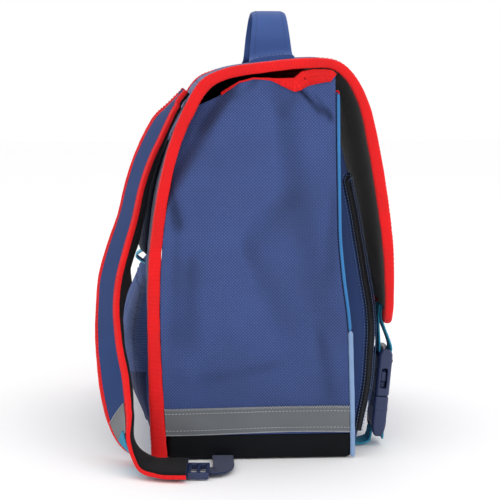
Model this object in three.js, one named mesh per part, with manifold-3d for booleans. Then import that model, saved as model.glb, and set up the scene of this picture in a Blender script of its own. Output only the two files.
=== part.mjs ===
import * as THREE from "three";
import Module from "manifold-3d";
import { mergeVertices } from "three/addons/utils/BufferGeometryUtils.js";

const wasm = await Module();
wasm.setup();

// A school ransel in millimetres: +Z up, the flap faces -Y, the shoulder straps are at +Y.
// The origin is the centre of the base's underside.

// Overall sizes
const bagWidth = 300;
const bagDepth = 224;
const bagHeight = 377;
const clearance = 0.4;

// Cloth and tape
const clothThickness = 2;
const tapeThickness = 1.3;
const tapeLip = 9;
const edgeTapeWidth = 10;
const tapeRoom = 0.6;
const hemRoom = 0.8;
const webbingThickness = 1.6;
const webbingWidth = 25;

// Flap and back
const backCrown = 6;
const flapCrown = 9;
const flapCornerRadius = 34;
const splitRow = 8;

// Base and side trim
const baseHeight = 24;
const baseWall = 3;
const baseCornerCut = 3.5;
const bandHeight = 26;
const bandThickness = 0.8;

// Side walls
const sideInset = 1.4;
const sidePuff = 3;
const foldDepth = 24;
const hemHeight = 14;
const pipingRadius = 1.5;
const lowerPipingWidth = 4.7;
const lowerPipingTop = 124;

// Front pocket
const pocketWidth = 256;
const pocketDepth = 26;
const pocketBottom = 6;
const pocketTop = 300;
const frontCrown = 4;
const frontTop = 350;
const zipperThickness = 1.1;

// Front closures
const buckleSpacing = 190;
const buckleWidth = 40;
const buckleDepth = 14;
const buckleLength = 88;
const buckleTop = 98;
const buckleDrift = 3.3;
const webbingSlack = 22;
const buckleTilt = 5;
const buckleBar = 4;
const slotHeight = 4.4;
const barThickness = 9.5;

// Handle
const handleSpan = 104;
const handleWidth = 33;
const handleFlare = 11;
const handleRise = 45;
const handleThickness = 4;
const handleCentre = -19;
const handleTab = 22;

// Back padding
const upperPadWidth = 150;
const upperPadDepth = 9;
const lowerPadWidth = 236;
const lowerPadDepth = 22;
const padSeat = 0.8;
const backLoopRise = 11;

// Shoulder straps
const strapWidth = 48;
const strapThickness = 7;
const strapReach = 46;
const strapSplay = 54;
const strapTape = 5;
const lockLength = 20;
const lockThickness = 6;
const lockWall = 5;
const anchorWidth = 20;
const anchorDrift = 14;

// The back and flap from the back's foot, over the top, to the flap's lower edge.
// deep and high are shares of bagDepth and bagHeight, tape of edgeTapeWidth, crown of its size.
const spineRows = [
  { deep: 0.42, high: 0.001, tape: 1.5, crown: 0.2 },
  { deep: 0.429, high: 0.119, tape: 1.36, crown: 0.7 },
  { deep: 0.4375, high: 0.292, tape: 1.16, crown: 1 },
  { deep: 0.4375, high: 0.424, tape: 1.12, crown: 1 },
  { deep: 0.427, high: 0.541, tape: 1.05, crown: 1 },
  { deep: 0.391, high: 0.69, tape: 0.98, crown: 0.9 },
  { deep: 0.344, high: 0.801, tape: 1.02, crown: 0.2 },
  { deep: 0.293, high: 0.875, tape: 1.1, crown: -0.4 },
  { deep: 0.219, high: 0.947, tape: 1.1, crown: -0.4 },
  { deep: 0.137, high: 0.973, tape: 0.98, crown: 0.2 },
  { deep: -0.045, high: 0.991, tape: 0.92, crown: 0.4 },
  { deep: -0.214, high: 1, tape: 0.9, crown: 0.4 },
  { deep: -0.318, high: 0.996, tape: 0.9, crown: 0.4 },
  { deep: -0.381, high: 0.968, tape: 0.88, crown: 0.45 },
  { deep: -0.442, high: 0.902, tape: 0.92, crown: 0.6 },
  { deep: -0.487, high: 0.793, tape: 1.02, crown: 0.8 },
  { deep: -0.53, high: 0.645, tape: 1.05, crown: 1 },
  { deep: -0.554, high: 0.533, tape: 0.98, crown: 1 },
  { deep: -0.5625, high: 0.419, tape: 0.8, crown: 0.9 },
  { deep: -0.5635, high: 0.34, tape: 0.7, crown: 0.7 },
];

// The front corner's line: where the side meets the front, as shares of bagHeight and bagDepth.
const cornerRows = [
  { high: 0, deep: -0.4107 },
  { high: 0.146, deep: -0.406 },
  { high: 0.325, deep: -0.396 },
  { high: 0.381, deep: -0.386 },
  { high: 0.458, deep: -0.367 },
  { high: 0.535, deep: -0.353 },
  { high: 0.573, deep: -0.348 },
  { high: 0.786, deep: -0.339 },
  { high: 1, deep: -0.333 },
];

// The side wall's top edge from back to front, and how much of hemHeight its tape shows.
const rimRows = [
  { deep: 0.223, high: 0.897, tape: 0.3 },
  { deep: 0.185, high: 0.91, tape: 0.3 },
  { deep: 0.136, high: 0.93, tape: 0.3 },
  { deep: 0.074, high: 0.954, tape: 0.35 },
  { deep: 0.02, high: 0.963, tape: 0.35 },
  { deep: -0.05, high: 0.962, tape: 0.4 },
  { deep: -0.1, high: 0.958, tape: 0.55 },
  { deep: -0.152, high: 0.958, tape: 0.8 },
  { deep: -0.19, high: 0.97, tape: 1 },
  { deep: -0.232, high: 0.98, tape: 1 },
  { deep: -0.28, high: 0.98, tape: 1 },
  { deep: -0.305, high: 0.978, tape: 1 },
  { deep: -0.321, high: 0.97, tape: 1 },
];

// The pocket's bulge from its foot to its top: shares of bagHeight and pocketDepth.
const pocketRows = [
  { high: 0, deep: 0.17 },
  { high: 0.05, deep: 0.32 },
  { high: 0.12, deep: 0.5 },
  { high: 0.19, deep: 0.68 },
  { high: 0.26, deep: 0.82 },
  { high: 0.39, deep: 0.98 },
  { high: 0.5, deep: 1 },
  { high: 0.66, deep: 0.88 },
  { high: 0.78, deep: 0.68 },
  { high: 0.85, deep: 0.52 },
  { high: 0.93, deep: 0.34 },
  { high: 1, deep: 0.17 },
];

// Half the pocket's outline in plan: shares of its half width and of its bulge.
const pocketPlan = [
  { across: 1, deep: 0 },
  { across: 1, deep: 0.35 },
  { across: 0.995, deep: 0.62 },
  { across: 0.98, deep: 0.84 },
  { across: 0.93, deep: 0.96 },
  { across: 0.6, deep: 1.03 },
  { across: 0, deep: 1.08 },
];

// A shoulder strap's middle line from its top seam to its lock: across is a share of half the bag's
// width, splay of strapSplay beyond it, deep of bagDepth, bow of strapReach, high of bagHeight,
// turn is the face's turn to the outside in degrees.
const strapRows = [
  { across: 0.4, splay: 0, deep: 0.28, bow: 0.1, high: 0.92, turn: 1 },
  { across: 0.42, splay: 0, deep: 0.326, bow: 0.12, high: 0.886, turn: 5 },
  { across: 0.45, splay: 0, deep: 0.355, bow: 0.13, high: 0.863, turn: 18 },
  { across: 0.5, splay: 0, deep: 0.384, bow: 0.24, high: 0.806, turn: 21 },
  { across: 0.56, splay: 0, deep: 0.41, bow: 0.34, high: 0.745, turn: 20 },
  { across: 0.62, splay: 0, deep: 0.42, bow: 0.46, high: 0.682, turn: 19 },
  { across: 0.68, splay: 0, deep: 0.43, bow: 0.56, high: 0.607, turn: 20 },
  { across: 0.72, splay: 0, deep: 0.4375, bow: 0.72, high: 0.533, turn: 23 },
  { across: 0.76, splay: 0, deep: 0.4375, bow: 0.89, high: 0.456, turn: 24 },
  { across: 0.8, splay: 0, deep: 0.4375, bow: 0.95, high: 0.374, turn: 24 },
  { across: 0.86, splay: 0, deep: 0.4375, bow: 0.93, high: 0.3, turn: 24 },
  { across: 0.92, splay: 0.05, deep: 0.4375, bow: 0.83, high: 0.212, turn: 23 },
  { across: 0.97, splay: 0.22, deep: 0.4375, bow: 0.68, high: 0.122, turn: 18 },
  { across: 1, splay: 0.42, deep: 0.4375, bow: 0.46, high: 0.062, turn: 7 },
  { across: 1, splay: 0.62, deep: 0.4375, bow: 0.13, high: 0.026, turn: 2 },
  { across: 1, splay: 0.76, deep: 0.4, bow: 0, high: 0.0185, turn: 0 },
  { across: 1, splay: 0.83, deep: 0.34, bow: 0, high: 0.0185, turn: 0 },
  { across: 1, splay: 0.84, deep: 0.305, bow: 0, high: 0.0185, turn: 0 },
];

// Values between table rows
function lerp(a, b, f) {
  return a + (b - a) * f;
}

function smooth(f) {
  const t = Math.min(1, Math.max(0, f));
  return t * t * (3 - 2 * t);
}

function between(rows, key, value, column) {
  const rising = rows[rows.length - 1][key] > rows[0][key];
  const ordered = rising ? rows : [...rows].reverse();
  if (value <= ordered[0][key]) return ordered[0][column];
  for (let i = 1; i < ordered.length; i += 1) {
    const low = ordered[i - 1];
    const high = ordered[i];
    if (value <= high[key]) return lerp(low[column], high[column], (value - low[key]) / (high[key] - low[key]));
  }
  return ordered[ordered.length - 1][column];
}

// Closed meshes
function closedGeometry(points, faces) {
  let volume = 0;
  for (const [a, b, c] of faces) {
    const cross = new THREE.Vector3().crossVectors(points[b], points[c]);
    volume += points[a].dot(cross);
  }
  const ordered = volume < 0 ? faces.map(([a, b, c]) => [a, c, b]) : faces;
  const geometry = new THREE.BufferGeometry();
  geometry.setAttribute("position", new THREE.Float32BufferAttribute(points.flatMap((p) => [p.x, p.y, p.z]), 3));
  geometry.setIndex(ordered.flat());
  return geometry;
}

// A sheet solid between two grids of points with the same rows and columns.
function sheetSolid(outer, inner) {
  const rows = outer.length;
  const columns = outer[0].length;
  const points = [...outer.flat(), ...inner.flat()];
  const offset = rows * columns;
  const faces = [];
  const quad = (a, b, c, d) => faces.push([a, b, c], [a, c, d]);
  const at = (i, j) => i * columns + j;
  for (let i = 0; i < rows - 1; i += 1) {
    for (let j = 0; j < columns - 1; j += 1) {
      quad(at(i, j), at(i + 1, j), at(i + 1, j + 1), at(i, j + 1));
      quad(offset + at(i, j), offset + at(i, j + 1), offset + at(i + 1, j + 1), offset + at(i + 1, j));
    }
  }
  const edge = (a, b) => quad(a, b, offset + b, offset + a);
  for (let j = 0; j < columns - 1; j += 1) {
    edge(at(0, j), at(0, j + 1));
    edge(at(rows - 1, j + 1), at(rows - 1, j));
  }
  for (let i = 0; i < rows - 1; i += 1) {
    edge(at(i + 1, 0), at(i, 0));
    edge(at(i, columns - 1), at(i + 1, columns - 1));
  }
  return closedGeometry(points, faces);
}

// A solid swept through stations, each with a place, two section directions and its section.
function sweptSolid(stations) {
  const count = stations[0].section.length;
  const points = stations.flatMap((station) =>
    station.section.map(([x, y]) => station.place.clone().addScaledVector(station.right, x).addScaledVector(station.up, y)),
  );
  const faces = [];
  for (let i = 0; i < stations.length - 1; i += 1) {
    for (let j = 0; j < count; j += 1) {
      const k = (j + 1) % count;
      const a = i * count;
      const b = a + count;
      const straight = points[a + j].distanceTo(points[b + k]) < points[a + k].distanceTo(points[b + j]);
      if (straight) faces.push([a + j, a + k, b + k], [a + j, b + k, b + j]);
      else faces.push([a + j, a + k, b + j], [a + k, b + k, b + j]);
    }
  }
  const caps = THREE.ShapeUtils.triangulateShape(stations[0].section.map(([x, y]) => new THREE.Vector2(x, y)), []);
  const flipped = THREE.ShapeUtils.area(stations[0].section.map(([x, y]) => new THREE.Vector2(x, y))) < 0;
  const last = (stations.length - 1) * count;
  for (const [a, b, c] of caps) {
    const [p, q, r] = flipped ? [a, b, c] : [a, c, b];
    faces.push([p, q, r], [last + p, last + r, last + q]);
  }
  return closedGeometry(points, faces);
}

// Sections
function channelSection(lip, half, wall = tapeThickness) {
  return [
    [lip, half],
    [-clearance, half],
    [-clearance, -half],
    [lip, -half],
    [lip, -half - wall],
    [-clearance - wall, -half - wall * 0.6],
    [-clearance - wall, half + wall * 0.6],
    [lip, half + wall],
  ];
}

function flatSection(width, thickness) {
  return [
    [-width / 2, -thickness / 2],
    [width / 2, -thickness / 2],
    [width / 2, thickness / 2],
    [-width / 2, thickness / 2],
  ];
}

function paddedSection(width, thickness) {
  const ease = thickness * 0.35;
  return [
    [-width / 2, -thickness / 2 + ease],
    [-width / 2 + ease * 2, -thickness / 2],
    [width / 2 - ease * 2, -thickness / 2],
    [width / 2, -thickness / 2 + ease],
    [width / 2, thickness / 2 - ease],
    [width / 2 - ease * 2, thickness / 2],
    [-width / 2 + ease * 2, thickness / 2],
    [-width / 2, thickness / 2 - ease],
  ];
}

function roundSection(radiusX, radiusY, sides) {
  return Array.from({ length: sides }, (_, i) => {
    const angle = (2 * Math.PI * (i + 0.5)) / sides;
    return [radiusX * Math.cos(angle), radiusY * Math.sin(angle)];
  });
}

// Booleans
function toManifold(geometry) {
  const bare = geometry.clone();
  bare.deleteAttribute("normal");
  bare.deleteAttribute("uv");
  const merged = mergeVertices(bare);
  const mesh = new wasm.Mesh({
    numProp: 3,
    vertProperties: new Float32Array(merged.attributes.position.array),
    triVerts: new Uint32Array(merged.index.array),
  });
  return new wasm.Manifold(mesh);
}

function toGeometry(manifold) {
  const mesh = manifold.getMesh();
  const geometry = new THREE.BufferGeometry();
  geometry.setAttribute("position", new THREE.BufferAttribute(new Float32Array(mesh.vertProperties), 3));
  geometry.setIndex(new THREE.BufferAttribute(new Uint32Array(mesh.triVerts), 1));
  return geometry;
}

function box(width, depth, height, x = 0, y = 0, z = 0) {
  return toManifold(new THREE.BoxGeometry(width, depth, height).translate(x, y, z));
}

// The spine: the curve that back and flap follow
const half = bagWidth / 2;
const sheetHalf = half - clearance - tapeThickness;
const spineCurve = new THREE.CatmullRomCurve3(
  spineRows.map((row) => new THREE.Vector3(0, row.deep * bagDepth, row.high * bagHeight)),
  false,
  "centripetal",
);
spineCurve.arcLengthDivisions = 900;
const spineLength = spineCurve.getLength();

function spineValue(s, column) {
  const share = Math.min(1, Math.max(0, s / spineLength));
  const place = spineCurve.getUtoTmapping(share) * (spineRows.length - 1);
  const low = Math.min(spineRows.length - 2, Math.floor(place));
  return lerp(spineRows[low][column], spineRows[low + 1][column], place - low);
}

function spineNormal(s) {
  const tangent = spineCurve.getTangentAt(Math.min(1, Math.max(0, s / spineLength)));
  return new THREE.Vector3(0, tangent.z, -tangent.y).normalize();
}

function spineTape(s) {
  return spineValue(s, "tape") * edgeTapeWidth;
}

function spineSheet(s) {
  return spineTape(s) - 2 * (tapeRoom + tapeThickness);
}

function spineCrown(s, x) {
  const size = lerp(backCrown, flapCrown, smooth(s / spineLength * 2 - 0.5));
  return spineValue(s, "crown") * size * (1 - (x / sheetHalf) ** 2);
}

function spinePoint(s, x, lift = 0) {
  const centre = spineCurve.getPointAt(Math.min(1, Math.max(0, s / spineLength)));
  return centre.addScaledVector(spineNormal(s), spineCrown(s, x) + lift).setX(x);
}

function surfaceNormal(s, x) {
  const step = 1;
  const along = spinePoint(s + step, x).sub(spinePoint(s - step, x));
  const across = spinePoint(s, x + step).sub(spinePoint(s, x - step));
  return new THREE.Vector3().crossVectors(along, across).normalize();
}

// Where the spine is cut into rows: two between neighbours of the table, then round the corners.
const cornerStart = spineLength - flapCornerRadius;
const cornerSteps = 4;
const spineStations = [];
for (let i = 0; i < (spineRows.length - 1) * 2; i += 1) {
  const share = i / ((spineRows.length - 1) * 2);
  const lengths = spineCurve.getLengths();
  const s = lengths[Math.round(share * (lengths.length - 1))];
  if (s < cornerStart - 8) spineStations.push({ s, half: sheetHalf });
}
for (let i = 0; i <= cornerSteps; i += 1) {
  const angle = (i / cornerSteps) * (Math.PI / 2);
  const s = cornerStart + flapCornerRadius * Math.sin(angle);
  spineStations.push({ s, half: sheetHalf - flapCornerRadius * (1 - Math.cos(angle)) });
}
const splitStation = splitRow * 2;

function spineColumns(rowHalf) {
  const inner = rowHalf - tapeLip;
  return [-rowHalf, -inner, -inner * 0.55, 0, inner * 0.55, inner, rowHalf];
}

function spineGrid(stations, lift) {
  return stations.map(({ s, half: rowHalf }) => spineColumns(rowHalf).map((x) => spinePoint(s, x, lift(s))));
}

function spineSheetSolid(stations) {
  const outer = spineGrid(stations, (s) => spineSheet(s) / 2);
  const inner = spineGrid(stations, (s) => -spineSheet(s) / 2);
  return sheetSolid(outer, inner);
}

function makeBackPanel() {
  const stations = spineStations.slice(0, splitStation + 1).map((row) => ({ ...row }));
  stations[0].s += clearance;
  stations[splitStation].s -= clearance / 2;
  return spineSheetSolid(stations);
}

function makeFlap() {
  const stations = spineStations.slice(splitStation).map((row) => ({ ...row }));
  stations[0].s += clearance / 2;
  return spineSheetSolid(stations);
}

// The tape's route: up one side, round the flap's corners and down the other side.
function bindingRoute() {
  const left = spineStations.map(({ s, half: rowHalf }) => ({ s, x: -rowHalf, inner: -rowHalf + tapeLip, straight: s <= cornerStart + 1 }));
  const last = spineStations[spineStations.length - 1];
  const bottom = spineColumns(last.half).slice(1, -1).map((x) => ({ s: last.s, x, straight: false }));
  const right = left.map((row) => ({ ...row, x: -row.x, inner: -row.inner })).reverse();
  return [...left, ...bottom, ...right];
}

function makeEdgeBinding() {
  const route = bindingRoute();
  const places = route.map(({ s, x }) => spinePoint(s, x));
  const stations = route.map((row, i) => {
    const before = places[Math.max(0, i - 1)];
    const after = places[Math.min(places.length - 1, i + 1)];
    const along = after.clone().sub(before).normalize();
    const up = surfaceNormal(row.s, row.x);
    const right = new THREE.Vector3().crossVectors(up, along).normalize();
    const middle = spinePoint(Math.min(row.s, cornerStart), 0);
    if (row.straight) right.copy(spinePoint(row.s, row.inner)).sub(places[i]).normalize();
    else if (right.dot(middle.sub(places[i])) < 0) right.negate();
    const section = channelSection(tapeLip, spineSheet(row.s) / 2 + tapeRoom);
    return { place: places[i], right, up, section };
  });
  stations[0].place.z += clearance;
  stations[stations.length - 1].place.z += clearance;
  return sweptSolid(stations);
}

// Side walls
function cornerLine(z) {
  return between(cornerRows, "high", z / bagHeight, "deep") * bagDepth;
}

const insideLine = spineStations.filter(({ s }) => s < cornerStart).map(({ s }) => {
  const inside = spinePoint(s, sheetHalf).addScaledVector(spineNormal(s), -spineTape(s) / 2 - clearance);
  return { y: inside.y, z: inside.z };
});
const highest = insideLine.reduce((best, row, i) => (row.z > insideLine[best].z ? i : best), 0);
const backLine = insideLine.slice(0, highest);
const roofLine = insideLine.slice(splitStation - 2);

function backEdge(z) {
  return between(backLine, "z", z, "y");
}

function roofAbove(y) {
  return between(roofLine, "y", y, "z");
}

const sideColumns = 13;
const hemStart = 2;
const sideRowShares = [0, 0.08, 0.17, 0.27, 0.38, 0.49, 0.6, 0.7, 0.79, 0.87, 0.94, 1];
const sideOutside = half - sideInset;
const sideFoot = baseHeight + clearance;
const pipingRoom = lowerPipingWidth / 2 + clearance;
const rimBack = rimRows[0].deep * bagDepth;
const rimFront = rimRows[rimRows.length - 1].deep * bagDepth;

function rimHeight(y) {
  const wanted = between(rimRows, "deep", y / bagDepth, "high") * bagHeight;
  return Math.min(wanted, roofAbove(y) - tapeThickness - 2 * clearance);
}

// How far the wall leans in behind its fold, which runs from the rim down to the back edge.
const foldTop = { deep: 0.05, high: 0.966 };
const foldFoot = { deep: 0.37, high: 0.64 };
function sideLean(y, z) {
  const ay = foldTop.deep * bagDepth;
  const az = foldTop.high * bagHeight;
  const dy = foldFoot.deep * bagDepth - ay;
  const dz = foldFoot.high * bagHeight - az;
  const beyond = ((y - ay) * -dz + (z - az) * dy) / Math.hypot(dy, dz);
  return foldDepth * smooth(beyond / (foldDepth * 2.2));
}

function sidePoint(u, v, depth, side) {
  const rimY = lerp(rimBack, rimFront, u);
  const z = lerp(sideFoot, rimHeight(rimY), v);
  const backY = Math.max(rimBack, Math.min(backEdge(z), backEdge(Math.min(z, rimRows[0].high * bagHeight))));
  const frontY = cornerLine(z) + pipingRoom;
  const y = lerp(backY, frontY, u);
  const puff = sidePuff * Math.sin(Math.PI * u) * Math.sin(Math.PI * Math.min(1, v)) ** 2;
  return new THREE.Vector3(side * (sideOutside + puff - sideLean(y, z) - depth), y, z);
}

function sideGrid(depth, side, shares = sideRowShares) {
  return shares.map((v) => Array.from({ length: sideColumns + 1 }, (_, i) => sidePoint(i / sideColumns, v, depth, side)));
}

function makeSidePanel(side) {
  return sheetSolid(sideGrid(0, side), sideGrid(clothThickness, side));
}

function makeSideHem(side) {
  const outerRows = sideGrid(clothThickness / 2, side, sideRowShares.slice(-2));
  const [below, rim] = outerRows.map((row) => row.slice(hemStart));
  const stations = rim.map((place, i) => {
    const before = rim[Math.max(0, i - 1)];
    const after = rim[Math.min(rim.length - 1, i + 1)];
    const along = after.clone().sub(before).normalize();
    const down = below[i].clone().sub(place).normalize();
    down.addScaledVector(along, -down.dot(along)).normalize();
    const out = new THREE.Vector3().crossVectors(along, down).normalize();
    if (out.x * side < 0) out.negate();
    const share = between(rimRows, "deep", place.y / bagDepth, "tape");
    const section = channelSection(hemHeight * share, clothThickness / 2 + hemRoom);
    return { place: place.clone(), right: down, up: out, section };
  });
  return sweptSolid(stations);
}

function makeReflectiveBand(side) {
  const topShare = (bandHeight - 1) / (rimHeight(0) - sideFoot);
  const rows = [0.004, topShare];
  const shifted = (depth) => rows.map((v) =>
    Array.from({ length: sideColumns + 1 }, (_, i) => {
      const u = i / sideColumns;
      const place = sidePoint(u, 0, depth, side);
      place.z = sideFoot + v * (rimHeight(0) - sideFoot);
      place.y = lerp(backEdge(place.z), cornerLine(place.z) + pipingRoom, u);
      return place;
    }));
  return sheetSolid(shifted(-clearance - bandThickness), shifted(-clearance));
}

// Front wall
const frontHalf = sideOutside - clothThickness - clearance;

function frontSurface(x, z) {
  const rise = Math.sin(Math.PI * Math.min(1, Math.max(0, z / frontTop)));
  return cornerLine(z) - frontCrown * (1 - (x / frontHalf) ** 2) * rise;
}

const frontColumns = [-1, -0.8, -0.5, 0, 0.5, 0.8, 1];
const frontRows = [0, 0.12, 0.25, 0.4, 0.55, 0.7, 0.82, 0.94, 1];

function frontGrid(depth) {
  return frontRows.map((v) => frontColumns.map((share) => {
    const x = share * frontHalf;
    const z = lerp(sideFoot, frontTop, v);
    return new THREE.Vector3(x, frontSurface(x, z) + depth, z);
  }));
}

function makeFrontPanel() {
  return sheetSolid(frontGrid(0), frontGrid(clothThickness));
}

function makeFrontHem() {
  const rows = frontGrid(clothThickness / 2).slice(-2);
  const stations = rows[1].map((place, i) => {
    const down = rows[0][i].clone().sub(place).normalize();
    const before = rows[1][Math.max(0, i - 1)];
    const after = rows[1][Math.min(rows[1].length - 1, i + 1)];
    const along = after.clone().sub(before).normalize();
    const out = new THREE.Vector3().crossVectors(along, down).normalize();
    if (out.y > 0) out.negate();
    const section = channelSection(hemHeight, clothThickness / 2 + clearance);
    return { place: place.clone(), right: down, up: out, section };
  });
  stations[0].place.x += 2 * pipingRadius;
  stations[stations.length - 1].place.x -= 2 * pipingRadius;
  return sweptSolid(stations);
}

// Piping down the front corners
function makePiping(side, bottom, top, radiusX, radiusY, steps, sides) {
  const x = side * (sideOutside + 0.2);
  const stations = Array.from({ length: steps + 1 }, (_, i) => {
    const z = lerp(bottom, top, i / steps);
    const slope = cornerLine(z + 1) - cornerLine(z - 1);
    const along = new THREE.Vector3(0, slope, 2).normalize();
    const right = new THREE.Vector3(1, 0, 0);
    const up = new THREE.Vector3().crossVectors(along, right).normalize();
    const place = new THREE.Vector3(x, cornerLine(z), z);
    return { place, right, up, section: roundSection(radiusX, radiusY, sides) };
  });
  return sweptSolid(stations);
}

function makeUpperPiping(side) {
  const top = frontTop - tapeThickness;
  return makePiping(side, lowerPipingTop + clearance, top, pipingRadius, pipingRadius, 9, 6);
}

function makeLowerPiping(side) {
  const bottom = clearance * 2;
  return makePiping(side, bottom, lowerPipingTop, pipingRadius, lowerPipingWidth / 2, 5, 8);
}

// Base tub
function baseShape(inset) {
  const side = sideOutside - inset;
  const front = cornerLine(0) + 0.6 + inset;
  const back = backEdge(0) - inset;
  const cut = baseCornerCut;
  const shape = new THREE.Shape();
  shape.moveTo(-side, front + cut);
  shape.lineTo(-side + cut, front);
  shape.lineTo(side - cut, front);
  shape.lineTo(side, front + cut);
  shape.lineTo(side, back - cut);
  shape.lineTo(side - cut, back);
  shape.lineTo(-side + cut, back);
  shape.lineTo(-side, back - cut);
  shape.closePath();
  return shape;
}

function makeBase() {
  const outer = new THREE.ExtrudeGeometry(baseShape(0), { depth: baseHeight, bevelEnabled: false });
  const inner = new THREE.ExtrudeGeometry(baseShape(baseWall), { depth: baseHeight, bevelEnabled: false });
  inner.translate(0, 0, baseWall);
  return toGeometry(toManifold(outer).subtract(toManifold(inner)));
}

// Front pocket: an open-backed shell on the front wall
const pocketHalf = pocketWidth / 2;
const pocketShares = pocketRows.map((row) => row.high);
const pocketOutline = [
  ...pocketPlan.map((row) => ({ across: -row.across, deep: row.deep })),
  ...pocketPlan.slice(0, -1).reverse(),
];

function pocketPoint(row, point, lift) {
  const z = lerp(pocketBottom, pocketTop, row.high);
  const x = point.across * pocketHalf;
  const seat = frontSurface(x, z) - clearance - 0.3;
  return new THREE.Vector3(x, seat - point.deep * row.deep * pocketDepth - lift, z);
}

function pocketNormals(row) {
  const line = pocketOutline.map((point) => pocketPoint(row, point, 0));
  return line.map((place, j) => {
    const before = line[Math.max(0, j - 1)];
    const after = line[Math.min(line.length - 1, j + 1)];
    return new THREE.Vector3(after.y - before.y, before.x - after.x, 0).normalize();
  });
}

function pocketGrid(lift) {
  return pocketRows.map((row) => {
    const normals = pocketNormals(row);
    return pocketOutline.map((point, j) => {
      const room = row.deep * pocketDepth * point.deep;
      const depth = lift < 0 ? -Math.min(-lift, Math.max(clearance, room * 0.8)) : lift;
      const first = j === 0 || j === pocketOutline.length - 1;
      const normal = first ? new THREE.Vector3(Math.sign(point.across), 0, 0) : normals[j];
      return pocketPoint(row, point, 0).addScaledVector(normal, first && lift < 0 ? lift : depth);
    });
  });
}

function makePocket() {
  return sheetSolid(pocketGrid(0), pocketGrid(-clothThickness));
}

function pocketStrip(rows, columns) {
  const cut = (grid) => grid.slice(rows[0], rows[1] + 1).map((row) => row.slice(columns[0], columns[1] + 1));
  return sheetSolid(cut(pocketGrid(clearance + zipperThickness)), cut(pocketGrid(clearance)));
}

// The zip runs up one front edge of the pocket, across its top and down the other edge.
const zipFoot = 1;
const zipHead = pocketRows.length - 3;
const zipColumn = 2;

function makeZipperSide(side) {
  const last = pocketOutline.length - 1;
  const columns = side < 0 ? [zipColumn, zipColumn + 1] : [last - zipColumn - 1, last - zipColumn];
  return pocketStrip([zipFoot, zipHead], columns);
}

function makeZipperTop() {
  const last = pocketOutline.length - 1;
  return pocketStrip([zipHead, zipHead + 1], [zipColumn + 2, last - zipColumn - 2]);
}

// Ribbons of webbing whose width runs along X, bent at each of the given points
function ribbonInX(points, x, width, thickness) {
  const places = points.map(([y, z]) => new THREE.Vector3(x, y, z));
  const right = new THREE.Vector3(1, 0, 0);
  const stations = places.map((place, i) => {
    const before = place.clone().sub(places[Math.max(0, i - 1)]).normalize();
    const after = places[Math.min(places.length - 1, i + 1)].clone().sub(place).normalize();
    const along = before.clone().add(after).normalize();
    const lean = Math.max(0.5, Math.max(along.dot(before), along.dot(after)));
    const up = new THREE.Vector3().crossVectors(along, right).normalize();
    return { place, right, up, section: flatSection(width, thickness / lean) };
  });
  return sweptSolid(stations);
}

// A row of points along a curve through a few, for the free stretches of a ribbon
function curvePoints(points, steps) {
  const curve = new THREE.CatmullRomCurve3(points.map(([y, z]) => new THREE.Vector3(0, y, z)), false, "centripetal");
  return Array.from({ length: steps + 1 }, (_, i) => {
    const place = curve.getPointAt(i / steps);
    return [place.y, place.z];
  });
}

// Side-release buckle in its own frame: Z up along the strap, -Y is its face, the top at z = 0.
// It hangs below the flap's lower edge, drifting a little outwards from it.
const buckleStandoff = buckleDrift - spineRows[spineRows.length - 1].deep * bagDepth;
const upperLength = buckleLength * 0.53;
const lowerLength = buckleLength - upperLength - clearance;
const tongueLength = upperLength * 0.6;

// The slot behind a bar at a buckle's end, and the room for webbing round that bar
function webbingSlot(end, inward) {
  const room = buckleBar + slotHeight;
  const cut = box(webbingWidth + 2, buckleDepth * 2, room, 0, 0, end + inward * room / 2);
  return cut.subtract(box(webbingWidth + 4, barThickness, buckleBar, 0, 0, end + inward * buckleBar / 2));
}

function makeBuckleUpper() {
  const body = box(buckleWidth, buckleDepth, upperLength, 0, 0, -upperLength / 2);
  const mouthDepth = upperLength * 0.66;
  const mouth = box(buckleWidth - 8, buckleDepth - 5, mouthDepth * 2, 0, 0, -upperLength);
  const windowHeight = upperLength * 0.42;
  const windows = box(buckleWidth + 4, buckleDepth - 7, windowHeight, 0, 0, -upperLength * 0.62);
  return toGeometry(body.subtract(mouth).subtract(windows).subtract(webbingSlot(0, -1)));
}

function makeBuckleLower() {
  const top = -upperLength - clearance;
  const body = box(buckleWidth - 2, buckleDepth, lowerLength, 0, 0, top - lowerLength / 2);
  const spine = box(6, buckleDepth - 8, tongueLength, 0, 0, top + tongueLength / 2 - 1);
  let tongue = spine;
  for (const side of [-1, 1]) {
    const x = side * (buckleWidth / 2 - 7);
    tongue = tongue.add(box(4.5, buckleDepth - 8, tongueLength, x, 0, top + tongueLength / 2 - 1));
    tongue = tongue.add(box(5, buckleDepth - 8, tongueLength * 0.35, x + side * 2, 0, top + tongueLength * 0.7));
  }
  return toGeometry(body.subtract(webbingSlot(-buckleLength, 1)).add(tongue));
}

function placeBuckle(geometry, side) {
  const tilt = new THREE.Matrix4().makeRotationX(THREE.MathUtils.degToRad(buckleTilt));
  const shift = new THREE.Matrix4().makeTranslation(side * buckleSpacing / 2, -buckleStandoff, buckleTop);
  return geometry.applyMatrix4(shift.multiply(tilt));
}

function buckleLocal(y, z) {
  const angle = THREE.MathUtils.degToRad(buckleTilt);
  return [-buckleStandoff + y * Math.cos(angle) - z * Math.sin(angle), buckleTop + y * Math.sin(angle) + z * Math.cos(angle)];
}

const wrapFace = barThickness / 2 + clearance + webbingThickness / 2;
const wrapEnd = buckleBar + clearance + webbingThickness / 2;
const wrapEase = 0.8;

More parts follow.
